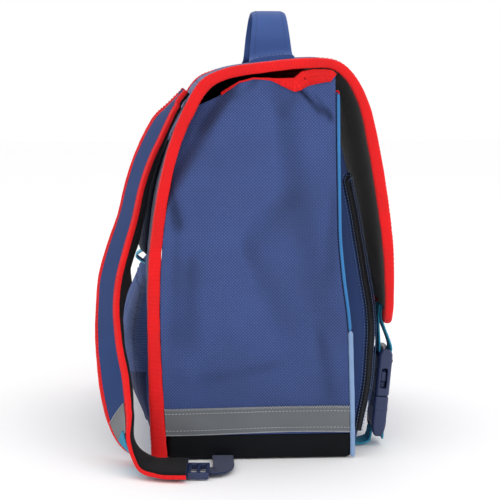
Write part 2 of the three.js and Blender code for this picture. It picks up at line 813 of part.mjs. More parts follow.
// A loop from the flap round the buckle's upper bar and back up to the flap.
function makeFlapWebbing(side) {
  const x = side * buckleSpacing / 2;
  const seam = spineLength - tapeLip - 4;
  const inner = (lift) => spinePoint(seam, x, -spineTape(seam) / 2 - 2 * clearance - webbingThickness / 2 - lift);
  const first = inner(0);
  const second = inner(webbingThickness + clearance);
  const hem = spinePoint(spineLength, x, -spineTape(seam) / 2 - 3 * clearance - webbingThickness / 2);
  const drop = 3;
  const points = [
    [first.y, first.z],
    [hem.y, hem.z],
    buckleLocal(-wrapFace, drop),
    buckleLocal(-wrapFace, -wrapEnd + wrapEase),
    buckleLocal(-wrapFace + wrapEase, -wrapEnd),
    buckleLocal(wrapFace - wrapEase, -wrapEnd),
    buckleLocal(wrapFace, -wrapEnd + wrapEase),
    buckleLocal(wrapFace, drop),
    [hem.y + webbingThickness + clearance * 2, hem.z],
    [second.y, second.z],
  ];
  return ribbonInX(points, x, webbingWidth, webbingThickness);
}

// From the lower bar back to the front wall's foot.
function makeFrontWebbing(side) {
  const low = webbingThickness / 2 + 2 * clearance;
  const footY = cornerLine(0) + 0.6 - clearance - webbingThickness / 2;
  const end = -buckleLength + wrapEnd;
  const points = [
    buckleLocal(-wrapFace, -buckleLength - 3.5),
    buckleLocal(-wrapFace, end - wrapEase),
    buckleLocal(-wrapFace + wrapEase, end),
    buckleLocal(wrapFace - wrapEase, end),
    buckleLocal(wrapFace, end - wrapEase),
    buckleLocal(wrapFace, -buckleLength - 3),
    ...curvePoints([buckleLocal(wrapFace + 2, -buckleLength - 6), [-buckleStandoff + webbingSlack, low], [footY - 5, low], [footY, low + 3]], 5),
    [footY, baseHeight * 0.7],
  ];
  return ribbonInX(points, side * buckleSpacing / 2, webbingWidth, webbingThickness);
}

// Handle: a band that arches along X over the top.
function handleSeat(x) {
  const reach = (handleWidth + handleFlare) / 2;
  const heights = [-reach, 0, reach].map((y) => {
    const s = spineAtTop(handleCentre + y);
    return spinePoint(s, x, spineSheet(s) / 2).z;
  });
  return Math.max(...heights);
}

function spineAtTop(y) {
  const steps = 200;
  let best = 0;
  for (let i = 0; i <= steps; i += 1) {
    const s = (i / steps) * spineLength;
    const point = spinePoint(s, 0);
    if (point.z > bagHeight * 0.9 && Math.abs(point.y - y) < Math.abs(spinePoint(best, 0).y - y)) best = s;
  }
  return best;
}

function makeHandle() {
  const lift = handleThickness / 2;
  const foot = handleSpan / 2;
  const seat = handleSeat(foot);
  const points = [
    [-foot - handleTab, handleSeat(foot + handleTab) + lift],
    [-foot - handleTab * 0.36, handleSeat(foot + handleTab * 0.36) + lift * 1.16],
    [-foot, seat + lift + handleRise * 0.09],
    [-foot * 0.92, seat + handleRise * 0.5],
    [-foot * 0.73, seat + handleRise * 0.86],
    [-foot * 0.42, seat + handleRise],
  ];
  const mirrored = points.map(([x, z]) => [-x, z]).reverse();
  const places = [...points, ...mirrored].map(([x, z]) => new THREE.Vector3(x, handleCentre, z));
  const curve = new THREE.CatmullRomCurve3(places, false, "centripetal");
  const right = new THREE.Vector3(0, 1, 0);
  const steps = 28;
  const stations = Array.from({ length: steps + 1 }, (_, i) => {
    const along = curve.getTangentAt(i / steps);
    const up = new THREE.Vector3().crossVectors(along, right).normalize();
    const place = curve.getPointAt(i / steps);
    const low = Math.min(1, Math.max(0, (seat + handleRise - place.z) / handleRise));
    return { place, right, up, section: paddedSection(handleWidth + handleFlare * low, handleThickness) };
  });
  return sweptSolid(stations);
}

// Back pads: closed cushions on the outside of the back panel
function makePad(lowShare, highShare, width, depth, profile) {
  const rows = profile.length;
  const columns = 8;
  const grid = (outer) => profile.map((row, i) => {
    const s = lerp(lowShare, highShare, i / (rows - 1)) * bagHeight;
    return Array.from({ length: columns + 1 }, (_, j) => {
      const across = (j / columns) * 2 - 1;
      const x = across * (width / 2) * row.wide;
      const seat = spineSheet(s) / 2 + padSeat;
      const fall = (1 - Math.abs(across) ** 4 * 0.62);
      return spinePoint(s, x, seat + (outer ? Math.max(2, depth * row.thick * fall) : 0));
    });
  });
  return sheetSolid(grid(true), grid(false));
}

const upperPadProfile = [
  { thick: 0.5, wide: 0.94 },
  { thick: 0.9, wide: 1 },
  { thick: 1, wide: 1 },
  { thick: 1, wide: 0.98 },
  { thick: 0.9, wide: 0.94 },
  { thick: 0.4, wide: 0.84 },
];

const lowerPadProfile = [
  { thick: 0.1, wide: 0.8 },
  { thick: 0.42, wide: 0.86 },
  { thick: 0.62, wide: 0.92 },
  { thick: 0.76, wide: 0.98 },
  { thick: 0.9, wide: 1 },
  { thick: 1, wide: 1 },
  { thick: 0.98, wide: 1 },
  { thick: 0.6, wide: 0.98 },
  { thick: 0.2, wide: 0.92 },
];

const lowerPadLow = 0.045;
const lowerPadHigh = 0.445;
const upperPadLow = 0.5;
const upperPadHigh = 0.8;

function makeBackLoop() {
  const low = lowerPadHigh * bagHeight;
  const high = upperPadLow * bagHeight;
  const lift = (s) => spineSheet(s) / 2 + clearance + webbingThickness / 2;
  const places = [
    spinePoint(low + 3, 0, lift(low)),
    spinePoint(low + 6, 0, lift(low) + backLoopRise * 0.5),
    spinePoint(lerp(low, high, 0.5), 0, lift(low) + backLoopRise),
    spinePoint(high - 6, 0, lift(high) + backLoopRise * 0.5),
    spinePoint(high - 3, 0, lift(high)),
  ];
  const points = curvePoints(places.map((place) => [place.y, place.z]), 8);
  return ribbonInX(points, 0, webbingWidth * 0.8, webbingThickness);
}

// Shoulder straps
function strapPlace(row, side) {
  const x = side * (row.across * half + row.splay * strapSplay);
  return new THREE.Vector3(x, row.deep * bagDepth + row.bow * strapReach, row.high * bagHeight);
}

function strapCurve(side) {
  return new THREE.CatmullRomCurve3(strapRows.map((row) => strapPlace(row, side)), false, "centripetal");
}

function strapFrame(curve, side, share) {
  const along = curve.getTangentAt(share);
  const place = curve.getPointAt(share);
  const row = curve.getUtoTmapping(share) * (strapRows.length - 1);
  const low = Math.min(strapRows.length - 2, Math.floor(row));
  const turn = THREE.MathUtils.degToRad(lerp(strapRows[low].turn, strapRows[low + 1].turn, row - low));
  const right = new THREE.Vector3(Math.cos(turn), -side * Math.sin(turn), 0);
  right.addScaledVector(along, -right.dot(along)).normalize();
  const up = new THREE.Vector3().crossVectors(right, along).normalize();
  return { place, right, up };
}

// Sections stand closer together where the strap curls under, near its lower end.
const strapCurl = 0.55;
const upperSections = 10;
const lowerSections = 18;
const strapShares = [
  ...Array.from({ length: upperSections }, (_, i) => (strapCurl * i) / upperSections),
  ...Array.from({ length: lowerSections + 1 }, (_, i) => lerp(strapCurl, 1, i / lowerSections)),
];

function strapStations(side, first, last, build) {
  const curve = strapCurve(side);
  return strapShares.slice(first, last + 1).map((share) => {
    const frame = strapFrame(curve, side, share);
    return { ...frame, ...build(frame) };
  });
}

const strapEnd = strapShares.length - 1;

function makeStrap(side) {
  return sweptSolid(strapStations(side, 0, strapEnd, () => ({ section: paddedSection(strapWidth, strapThickness) })));
}

function makeStrapBinding(side, edge) {
  const section = channelSection(strapTape, strapThickness / 2 + clearance);
  return sweptSolid(strapStations(side, 0, strapEnd, (frame) => ({
    place: frame.place.clone().addScaledVector(frame.right, edge * strapWidth / 2),
    right: frame.right.clone().multiplyScalar(-edge),
    section,
  })));
}

function strapRibbon(side, first, last, width, thickness) {
  const lift = strapThickness / 2 + 3 * clearance + thickness / 2;
  return sweptSolid(strapStations(side, first, last, (frame) => ({
    place: frame.place.clone().addScaledVector(frame.up, lift),
    section: flatSection(width, thickness),
  })));
}

const reflectorFirst = strapEnd - 9;
const reflectorLast = strapEnd - 7;
const innerStrapWidth = strapWidth - 2 * (strapTape + clearance);

function makeStrapReflector(side) {
  const strip = strapStations(side, reflectorFirst, reflectorLast, (frame) => ({
    place: frame.place.clone().addScaledVector(frame.up, strapThickness / 2 + 2 * clearance + bandThickness / 2),
    section: flatSection(innerStrapWidth, bandThickness),
  }));
  const last = strip[strip.length - 1];
  last.place.lerp(strip[strip.length - 2].place, clearance / 10);
  return sweptSolid(strip);
}

function makeStrapWebbing(side) {
  return strapRibbon(side, reflectorLast, strapEnd, webbingWidth, webbingThickness);
}

// Ladder lock beyond the strap's end, and the webbing from it to the foot of the bag's side.
function lockFrame(side) {
  const frame = strapFrame(strapCurve(side), side, 1);
  const along = new THREE.Vector3().crossVectors(frame.up, frame.right).normalize();
  if (along.y > 0) along.negate();
  const place = frame.place.clone().setZ(lockThickness / 2 + clearance * 2);
  return { place, along, right: frame.right };
}

function makeLadderLock(side) {
  const { place, along } = lockFrame(side);
  const width = webbingWidth + 2 * lockWall;
  const body = box(width, lockLength, lockThickness);
  const slot = lockLength / 2 - lockWall * 0.9;
  const cuts = [-1, 1].map((end) => box(webbingWidth + 1, slot, lockThickness * 2, 0, end * lockLength * 0.21));
  const lock = toGeometry(body.subtract(cuts[0]).subtract(cuts[1]));
  const centre = place.addScaledVector(along, lockLength / 2 + clearance);
  return lock.rotateZ(Math.atan2(along.x, -along.y)).translate(centre.x, centre.y, centre.z);
}

function makeAnchorWebbing(side) {
  const { place, along } = lockFrame(side);
  const start = place.clone().addScaledVector(along, lockLength + 2 * clearance);
  const foot = new THREE.Vector3(side * (sideOutside + clearance), start.y - anchorDrift, start.z);
  const straight = start.clone().addScaledVector(along, anchorWidth * 0.3);
  const turn = start.clone().addScaledVector(along, anchorWidth * 0.6);
  turn.x -= side * anchorWidth * 0.4;
  const curve = new THREE.CatmullRomCurve3([start, straight, turn, foot], false, "centripetal");
  const upright = new THREE.Vector3(0, 0, 1);
  const steps = 6;
  const stations = Array.from({ length: steps + 1 }, (_, i) => {
    const direction = curve.getTangentAt(i / steps);
    if (i === 0) direction.copy(along);
    if (i === steps) direction.set(-side, 0, 0);
    const right = new THREE.Vector3().crossVectors(direction, upright).normalize();
    return { place: curve.getPointAt(i / steps), right, up: upright, section: flatSection(anchorWidth, webbingThickness) };
  });
  return sweptSolid(stations);
}

// Materials
const fabrics = {
  panel: new THREE.MeshStandardMaterial({ color: 0x3c4e7e, roughness: 0.85, metalness: 0 }),
  smooth: new THREE.MeshStandardMaterial({ color: 0x374774, roughness: 0.7, metalness: 0 }),
  tape: new THREE.MeshStandardMaterial({ color: 0xed292e, roughness: 0.75, metalness: 0 }),
  mesh: new THREE.MeshStandardMaterial({ color: 0x2f3f6c, roughness: 0.95, metalness: 0 }),
  reflective: new THREE.MeshStandardMaterial({ color: 0x606469, roughness: 0.45, metalness: 0.1 }),
  base: new THREE.MeshStandardMaterial({ color: 0x181c20, roughness: 0.6, metalness: 0 }),
  skyBlue: new THREE.MeshStandardMaterial({ color: 0x4aa0d8, roughness: 0.7, metalness: 0 }),
  paleBlue: new THREE.MeshStandardMaterial({ color: 0x96afd2, roughness: 0.7, metalness: 0 }),
  webbing: new THREE.MeshStandardMaterial({ color: 0x4aa8cc, roughness: 0.8, metalness: 0 }),
  plastic: new THREE.MeshStandardMaterial({ color: 0x273456, roughness: 0.4, metalness: 0 }),
  zip: new THREE.MeshStandardMaterial({ color: 0x12161c, roughness: 0.6, metalness: 0 }),
};

const ransel = new THREE.Group();

function add(name, geometry, material) {
  const mesh = new THREE.Mesh(geometry, material);
  mesh.name = name;
  ransel.add(mesh);
}

const sides = [
  { name: "left", side: -1 },
  { name: "right", side: 1 },
];

add("back_panel", makeBackPanel(), fabrics.panel);
add("flap", makeFlap(), fabrics.panel);
add("edge_binding", makeEdgeBinding(), fabrics.tape);
add("front_panel", makeFrontPanel(), fabrics.panel);
add("front_hem", makeFrontHem(), fabrics.tape);
add("base", makeBase(), fabrics.base);
add("front_pocket", makePocket(), fabrics.smooth);
add("pocket_zipper_top", makeZipperTop(), fabrics.zip);
add("handle", makeHandle(), fabrics.smooth);
add("back_pad_upper", makePad(upperPadLow, upperPadHigh, upperPadWidth, upperPadDepth, upperPadProfile), fabrics.mesh);
add("back_pad_lower", makePad(lowerPadLow, lowerPadHigh, lowerPadWidth, lowerPadDepth, lowerPadProfile), fabrics.mesh);
add("back_loop", makeBackLoop(), fabrics.webbing);
for (const { name, side } of sides) {
  add(`side_panel_${name}`, makeSidePanel(side), fabrics.panel);
  add(`side_hem_${name}`, makeSideHem(side), fabrics.tape);
  add(`reflective_band_${name}`, makeReflectiveBand(side), fabrics.reflective);
  add(`piping_upper_${name}`, makeUpperPiping(side), fabrics.skyBlue);
  add(`piping_lower_${name}`, makeLowerPiping(side), fabrics.paleBlue);
  add(`pocket_zipper_${name}`, makeZipperSide(side), fabrics.zip);
  add(`flap_webbing_${name}`, makeFlapWebbing(side), fabrics.webbing);
  add(`buckle_upper_${name}`, placeBuckle(makeBuckleUpper(), side), fabrics.plastic);
  add(`buckle_lower_${name}`, placeBuckle(makeBuckleLower(), side), fabrics.plastic);
  add(`front_webbing_${name}`, makeFrontWebbing(side), fabrics.webbing);
  add(`shoulder_strap_${name}`, makeStrap(side), fabrics.smooth);
  add(`strap_binding_inner_${name}`, makeStrapBinding(side, -side), fabrics.tape);
  add(`strap_binding_outer_${name}`, makeStrapBinding(side, side), fabrics.tape);
  add(`strap_reflector_${name}`, makeStrapReflector(side), fabrics.reflective);
  add(`strap_webbing_${name}`, makeStrapWebbing(side), fabrics.webbing);
  add(`ladder_lock_${name}`, makeLadderLock(side), fabrics.plastic);
  add(`anchor_webbing_${name}`, makeAnchorWebbing(side), fabrics.webbing);
}

export default ransel;
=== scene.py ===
import math

import bmesh
import bpy
import numpy as np
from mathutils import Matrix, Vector


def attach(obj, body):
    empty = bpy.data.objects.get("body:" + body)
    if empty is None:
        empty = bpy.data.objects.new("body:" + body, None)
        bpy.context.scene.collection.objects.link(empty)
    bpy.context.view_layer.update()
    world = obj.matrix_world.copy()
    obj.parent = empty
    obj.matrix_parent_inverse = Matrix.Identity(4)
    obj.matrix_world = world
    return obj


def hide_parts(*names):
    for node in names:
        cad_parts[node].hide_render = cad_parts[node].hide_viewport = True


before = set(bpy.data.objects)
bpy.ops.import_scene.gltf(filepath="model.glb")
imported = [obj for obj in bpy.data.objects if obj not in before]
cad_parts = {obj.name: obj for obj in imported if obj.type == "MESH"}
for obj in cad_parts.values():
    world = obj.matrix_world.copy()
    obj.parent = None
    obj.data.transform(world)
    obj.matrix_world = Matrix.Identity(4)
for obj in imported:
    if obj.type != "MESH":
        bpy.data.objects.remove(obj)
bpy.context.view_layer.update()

# A school ransel in millimetres: +Z up, the flap faces -Y, the shoulder straps are at +Y.
MM = 0.001

# Overall sizes
bag_width = 300
bag_depth = 224
bag_height = 377
clearance = 0.4
sides = ((-1, "left"), (1, "right"))

# Cloth and tape
cloth_thickness = 2
tape_thickness = 1.3
tape_lip = 9
stitch_inset = 1.8
edge_tape_width = 10
tape_room = 0.6
hem_room = 0.8
webbing_thickness = 1.6
webbing_width = 25

# Flap and back
back_crown = 6
flap_crown = 9
flap_corner_radius = 34
split_row = 8

# Base and side trim
base_height = 24
base_wall = 3
band_height = 26
band_thickness = 0.8

# Side walls
side_inset = 1.4
side_puff = 3
fold_depth = 24
hem_height = 14
piping_radius = 1.5
lower_piping_width = 4.7
lower_piping_top = 124

# Front pocket
pocket_width = 256
pocket_depth = 28.5
pocket_bottom = 6
pocket_top = 300
front_crown = 4
front_top = 350
zipper_thickness = 1.1

# Front closures
buckle_spacing = 190
buckle_width = 40
buckle_depth = 14
buckle_length = 88
buckle_top = 98
buckle_drift = 3.3
webbing_slack = 22
buckle_tilt = 5
buckle_bar = 4
bar_thickness = 9.5

# Handle
handle_span = 104
handle_width = 33
handle_flare = 11
handle_rise = 45
handle_thickness = 4
handle_centre = -19
handle_tab = 22

# Back padding
upper_pad_width = 150
upper_pad_depth = 9
lower_pad_width = 236
lower_pad_depth = 22
pad_seat = 0.8
back_loop_rise = 11

# Shoulder straps
strap_width = 48
strap_thickness = 7
strap_reach = 46
strap_splay = 54
strap_tape = 5
lock_length = 20
lock_thickness = 6
anchor_width = 20
anchor_drift = 14

# The back and flap from the back's foot, over the top, to the flap's lower edge:
# deep and high are shares of bag_depth and bag_height, then tape and crown shares.
spine_rows = np.array([
    (0.42, 0.001, 1.5, 0.2), (0.429, 0.119, 1.36, 0.7), (0.4375, 0.292, 1.16, 1),
    (0.4375, 0.424, 1.12, 1), (0.427, 0.541, 1.05, 1), (0.391, 0.69, 0.98, 0.9),
    (0.344, 0.801, 1.02, 0.2), (0.293, 0.875, 1.1, -0.4), (0.219, 0.947, 1.1, -0.4),
    (0.137, 0.973, 0.98, 0.2), (-0.045, 0.991, 0.92, 0.4), (-0.214, 1, 0.9, 0.4),
    (-0.318, 0.996, 0.9, 0.4), (-0.381, 0.968, 0.88, 0.45), (-0.442, 0.902, 0.92, 0.6),
    (-0.487, 0.793, 1.02, 0.8), (-0.53, 0.645, 1.05, 1), (-0.554, 0.533, 0.98, 1),
    (-0.5625, 0.419, 0.8, 0.9), (-0.5635, 0.34, 0.7, 0.7),
])

# The front corner's line: high and deep.
corner_rows = np.array([
    (0, -0.4107), (0.146, -0.406), (0.325, -0.396), (0.381, -0.386), (0.458, -0.367),
    (0.535, -0.353), (0.573, -0.348), (0.786, -0.339), (1, -0.333),
])

# The side wall's top edge: deep and high.
rim_rows = np.array([
    (0.223, 0.897), (0.185, 0.91), (0.136, 0.93), (0.074, 0.954), (0.02, 0.963), (-0.05, 0.962),
    (-0.1, 0.958), (-0.152, 0.959), (-0.185, 0.975), (-0.232, 0.98), (-0.28, 0.98), (-0.305, 0.978),
    (-0.321, 0.97),
])

# The pocket's bulge from its foot to its top: high and deep.
pocket_rows = np.array([
    (0, 0.17), (0.05, 0.32), (0.12, 0.5), (0.19, 0.68), (0.26, 0.82), (0.39, 0.98),
    (0.5, 1), (0.66, 0.88), (0.78, 0.68), (0.85, 0.52), (0.93, 0.34), (1, 0.17),
])

# Half the pocket's outline in plan: across and deep.
pocket_plan = np.array([(1, 0), (1, 0.35), (0.995, 0.62), (0.98, 0.84), (0.93, 0.96), (0.6, 1.03), (0, 1.08)])

# A shoulder strap's middle line: across, splay, deep, bow, high and turn.
strap_rows = np.array([
    (0.4, 0, 0.28, 0.1, 0.92, 1), (0.42, 0, 0.326, 0.12, 0.886, 5),
    (0.45, 0, 0.355, 0.13, 0.863, 18), (0.5, 0, 0.384, 0.24, 0.806, 21),
    (0.56, 0, 0.41, 0.34, 0.745, 20), (0.62, 0, 0.42, 0.46, 0.682, 19),
    (0.68, 0, 0.43, 0.56, 0.607, 20), (0.72, 0, 0.4375, 0.72, 0.533, 23),
    (0.76, 0, 0.4375, 0.89, 0.456, 24), (0.8, 0, 0.4375, 0.95, 0.374, 24),
    (0.86, 0, 0.4375, 0.93, 0.3, 28), (0.92, 0.05, 0.4375, 0.83, 0.212, 33),
    (0.97, 0.22, 0.4375, 0.68, 0.122, 28), (1, 0.42, 0.4375, 0.46, 0.062, 16),
    (1, 0.62, 0.4375, 0.13, 0.026, 2), (1, 0.76, 0.4, 0, 0.0185, 0),
    (1, 0.83, 0.34, 0, 0.0185, 0), (1, 0.84, 0.305, 0, 0.0185, 0),
])

# Cushion profiles from foot to top: thick and wide.
upper_pad_rows = np.array([(0.85, 0.94), (1.15, 1), (1.15, 1), (1.05, 0.98), (0.9, 0.94), (0.4, 0.84)])
lower_pad_rows = np.array([
    (0.12, 0.8), (0.5, 0.86), (0.86, 0.92), (1.02, 0.98), (1.06, 1), (1.06, 1), (0.98, 1),
    (0.6, 0.98), (0.2, 0.92),
])
lower_pad_span = (0.045, 0.445)
# Where the lower cushion's mesh starts, as a share of bag_height
mesh_from = 0.175
upper_pad_span = (0.5, 0.8)


# Curves and vectors
def reach_of(line):
    """How far along a line each of its points lies."""
    return np.concatenate([[0], np.cumsum(np.linalg.norm(np.diff(line, axis=0), axis=1))])


def along_line(line, reach, at):
    return np.stack([np.interp(at, reach, line[:, k]) for k in range(line.shape[1])], -1)


class Curve:
    """A centripetal curve through points, with places at shares of its length."""

    def __init__(self, points):
        self.points = np.array(points, float)
        self.times = np.linspace(0, 1, 1801)
        self.lengths = reach_of(self.at(self.times))
        self.length = self.lengths[-1]

    def at(self, times):
        points = self.points
        count = len(points)
        place = np.clip(np.asarray(times, float), 0, 1) * (count - 1)
        low = np.minimum(place.astype(int), count - 2)
        weight = (place - low)[..., None]
        longer = np.vstack([2 * points[0] - points[1], points, 2 * points[-1] - points[-2]])
        p0, p1, p2, p3 = (longer[low + k] for k in range(4))
        gap = [np.maximum(np.sqrt(np.linalg.norm(b - a, axis=-1)), 1e-6)[..., None]
               for a, b in ((p0, p1), (p1, p2), (p2, p3))]
        start = ((p1 - p0) / gap[0] - (p2 - p0) / (gap[0] + gap[1]) + (p2 - p1) / gap[1]) * gap[1]
        end = ((p2 - p1) / gap[1] - (p3 - p1) / (gap[1] + gap[2]) + (p3 - p2) / gap[2]) * gap[1]
        return (p1 + start * weight + (3 * (p2 - p1) - 2 * start - end) * weight**2
                + (2 * (p1 - p2) + start + end) * weight**3)

    def time(self, share):
        return np.interp(np.clip(share, 0, 1) * self.length, self.lengths, self.times)

    def place(self, share):
        return self.at(self.time(share))

    def direction(self, share):
        step = 2e-4
        return unit(self.place(np.minimum(share + step, 1)) - self.place(np.maximum(share - step, 0)))

    def row(self, share):
        return self.time(share) * (len(self.points) - 1)


def unit(vectors):
    return vectors / np.maximum(np.linalg.norm(vectors, axis=-1, keepdims=True), 1e-12)


def smooth(value):
    t = np.clip(value, 0, 1)
    return t * t * (3 - 2 * t)


def table(rows, key, value, column):
    """One column of a table, read between its rows where the key column has the value."""
    order = np.argsort(rows[:, key], kind="stable")
    return np.interp(value, rows[order, key], rows[order, column])


def along_rows(rows, place, column):
    """One column of a table, read between its rows at a row number."""
    return np.interp(place, np.arange(len(rows)), rows[:, column])


def soft_noise(a, b, seed=0.0):
    """A smooth wander between about -1 and 1, the same on every run."""
    return (np.sin(a * 1.0 + 1.7 * b + seed) + np.sin(a * -1.3 + 2.1 * b + 2.3 * seed + 1)
            + np.sin(a * 2.3 + b * 0.7 + 3.1 * seed + 2) + np.sin(a * 0.6 - 3.1 * b + 1.3 * seed)) / 4


# Meshes
def make_object(name, points, faces, uv=None, material=None):
    mesh = bpy.data.meshes.new(name)
    mesh.from_pydata((np.asarray(points) * MM).tolist(), [], faces)
    if uv is not None:
        layer = mesh.uv_layers.new(name="cloth")
        loops = np.empty(len(mesh.loops), int)
        mesh.loops.foreach_get("vertex_index", loops)
        layer.data.foreach_set("uv", (np.asarray(uv)[loops] * MM).astype(np.float32).ravel())
    mesh.validate()
    bm = bmesh.new()
    bm.from_mesh(mesh)
    bmesh.ops.recalc_face_normals(bm, faces=bm.faces)
    bm.to_mesh(mesh)
    bm.free()
    piece = bpy.data.objects.new(name, mesh)
    bpy.context.collection.objects.link(piece)
    mesh.shade_smooth()
    mesh.set_sharp_from_angle(angle=math.radians(50))
    if material is not None:
        mesh.materials.append(material)
    return piece


def points_of(mesh):
    """A mesh's points in millimetres."""
    points = np.empty(len(mesh.vertices) * 3, np.float32)
    mesh.vertices.foreach_get("co", points)
    return points.reshape(-1, 3).astype(float) / MM


def set_points(mesh, points):
    mesh.vertices.foreach_set("co", (points * MM).astype(np.float32).ravel())
    mesh.update()


def set_second_material(mesh, faces):
    """Give the faces marked in an array of true and false the mesh's second material."""
    index = np.zeros(len(mesh.polygons), int)
    index[:len(faces)] = faces
    mesh.polygons.foreach_set("material_index", index)


def grid_lengths(grid):
    """Lengths along the rows and columns of a grid, as a cloth's own coordinates."""
    across = np.linalg.norm(np.diff(grid, axis=1), axis=2)
    down = np.linalg.norm(np.diff(grid, axis=0), axis=2)
    u = np.concatenate([np.zeros((len(grid), 1)), np.cumsum(across, axis=1)], axis=1)
    v = np.concatenate([np.zeros((1, grid.shape[1])), np.cumsum(down, axis=0)], axis=0)
    u = u - u[:, -1:] / 2
    return np.stack([u, np.broadcast_to(v.mean(axis=1, keepdims=True), u.shape)], axis=2)


def grid_normals(grid):
    down = np.gradient(grid, axis=0)
    across = np.gradient(grid, axis=1)
    return unit(np.cross(down, across))


def sheet_faces(rows, columns):
    offset = rows * columns
    index = np.arange(offset).reshape(rows, columns)
    a, b, c, d = index[:-1, :-1], index[1:, :-1], index[1:, 1:], index[:-1, 1:]
    top = np.stack([a, b, c, d], -1).reshape(-1, 4)
    bottom = np.stack([a, d, c, b], -1).reshape(-1, 4) + offset
    loop = np.concatenate([index[0, :-1], index[:-1, -1], index[-1, :0:-1], index[:0:-1, 0]])
    after = np.roll(loop, -1)
    rim = np.stack([loop, after, after + offset, loop + offset], -1)
    return np.concatenate([top, bottom, rim]).tolist()


def sheet_piece(name, outer, inner, material, uv=None, lining=None):
    """A closed sheet between two grids. lining is the inner side's material, where it has its own."""
    rows, columns = outer.shape[:2]
    uv = grid_lengths(outer) if uv is None else uv
    points = np.concatenate([outer.reshape(-1, 3), inner.reshape(-1, 3)])
    both = np.concatenate([uv.reshape(-1, 2)] * 2)
    piece = make_object(name, points, sheet_faces(rows, columns), both, material)
    if lining is not None:
        piece.data.materials.append(lining)
        set_second_material(piece.data, np.repeat([0, 1], (rows - 1) * (columns - 1)))
    return piece


def ring_faces(rows, count, first=0):
    """The faces of a tube with closed ends, from rows of count points."""
    index = np.arange(rows * count).reshape(rows, count) + first
    after = np.roll(index, -1, axis=1)
    faces = np.stack([index[:-1], after[:-1], after[1:], index[1:]], -1).reshape(-1, 4).tolist()
    return faces + [index[0].tolist(), index[-1][::-1].tolist()]


def sweep_piece(name, places, right, up, sections, material):
    """A section of (x, y) points carried along places. sections is one section or one for each place."""
    places, right, up = (np.asarray(v, float) for v in (places, right, up))
    sections = np.asarray(sections, float)
    if sections.ndim == 2:
        sections = np.broadcast_to(sections, (len(places), *sections.shape))
    rings = places[:, None] + sections[..., :1] * right[:, None] + sections[..., 1:] * up[:, None]
    uv = np.stack(np.broadcast_arrays(reach_of(places)[:, None], reach_of(sections[0])), -1)
    return make_object(name, rings.reshape(-1, 3), ring_faces(*rings.shape[:2]), uv.reshape(-1, 2), material)


def join_pieces(name, pieces):
    """One object from several, keeping their UVs and materials."""
    first = pieces[0]
    with bpy.context.temp_override(active_object=first, selected_editable_objects=pieces):
        bpy.ops.object.join()
    first.name = name
    first.data.name = name
    return first


def capsule_ring(count, radius_x, radius_y):
    angles = np.linspace(0, 2 * math.pi, count, endpoint=False)
    return np.stack([radius_x * np.cos(angles), radius_y * np.sin(angles)], 1)


def small_tubes(name, centres, first, second, sizes, width, height, count, material):
    """Many short tubes in one mesh. centres holds each tube's line, first and second its two directions."""
    ring = sizes[:, None, None] * capsule_ring(count, width / 2, height / 2)
    rings = centres[:, :, None] + first[:, :, None] * ring[..., :1] + second[:, :, None] * ring[..., 1:]
    faces = []
    for i in range(len(centres)):
        faces += ring_faces(len(sizes), count, i * len(sizes) * count)
    return make_object(name, rings.reshape(-1, 3), faces, None, material)


def stitches(name, line, normals, material, length=3.2, gap=1.1, width=0.55, height=0.35):
    """A row of thread stitches that lies on a surface along a line of points."""
    reach = reach_of(line)
    count = int((reach[-1] + gap) / (length + gap))
    shares = np.array([0, 0.12, 0.5, 0.88, 1])
    sizes = np.array([0.25, 0.85, 1, 0.85, 0.25])
    lifts = height * np.array([-0.1, 0.75, 1, 0.75, -0.1])
    at = np.linspace(0, reach[-1] - length, count)[:, None] + shares * length
    centre = along_line(line, reach, at)
    normal = unit(along_line(normals, reach, at))
    side = unit(np.cross(np.gradient(centre, axis=1), normal))
    return small_tubes(name, centre + normal * lifts[:, None], side, normal, sizes,
                       width, 2 * height, 5, material)


# Materials
def new_material(name, color, rough, sheen=0.0, specular=0.3):
    material = bpy.data.materials.new(name)
    material.use_nodes = True
    shader = material.node_tree.nodes["Principled BSDF"]
    shader.inputs["Base Color"].default_value = (*color, 1)
    shader.inputs["Roughness"].default_value = rough
    shader.inputs["Specular IOR Level"].default_value = specular
    if sheen:
        shader.inputs["Sheen Weight"].default_value = sheen
        shader.inputs["Sheen Roughness"].default_value = 0.4
    return material, shader


def rgb(red, green, blue):
    """Linear values of a colour given as 0 to 255."""
    def line(value):
        c = value / 255
        return c / 12.92 if c <= 0.04045 else ((c + 0.055) / 1.055) ** 2.4
    return (line(red), line(green), line(blue))


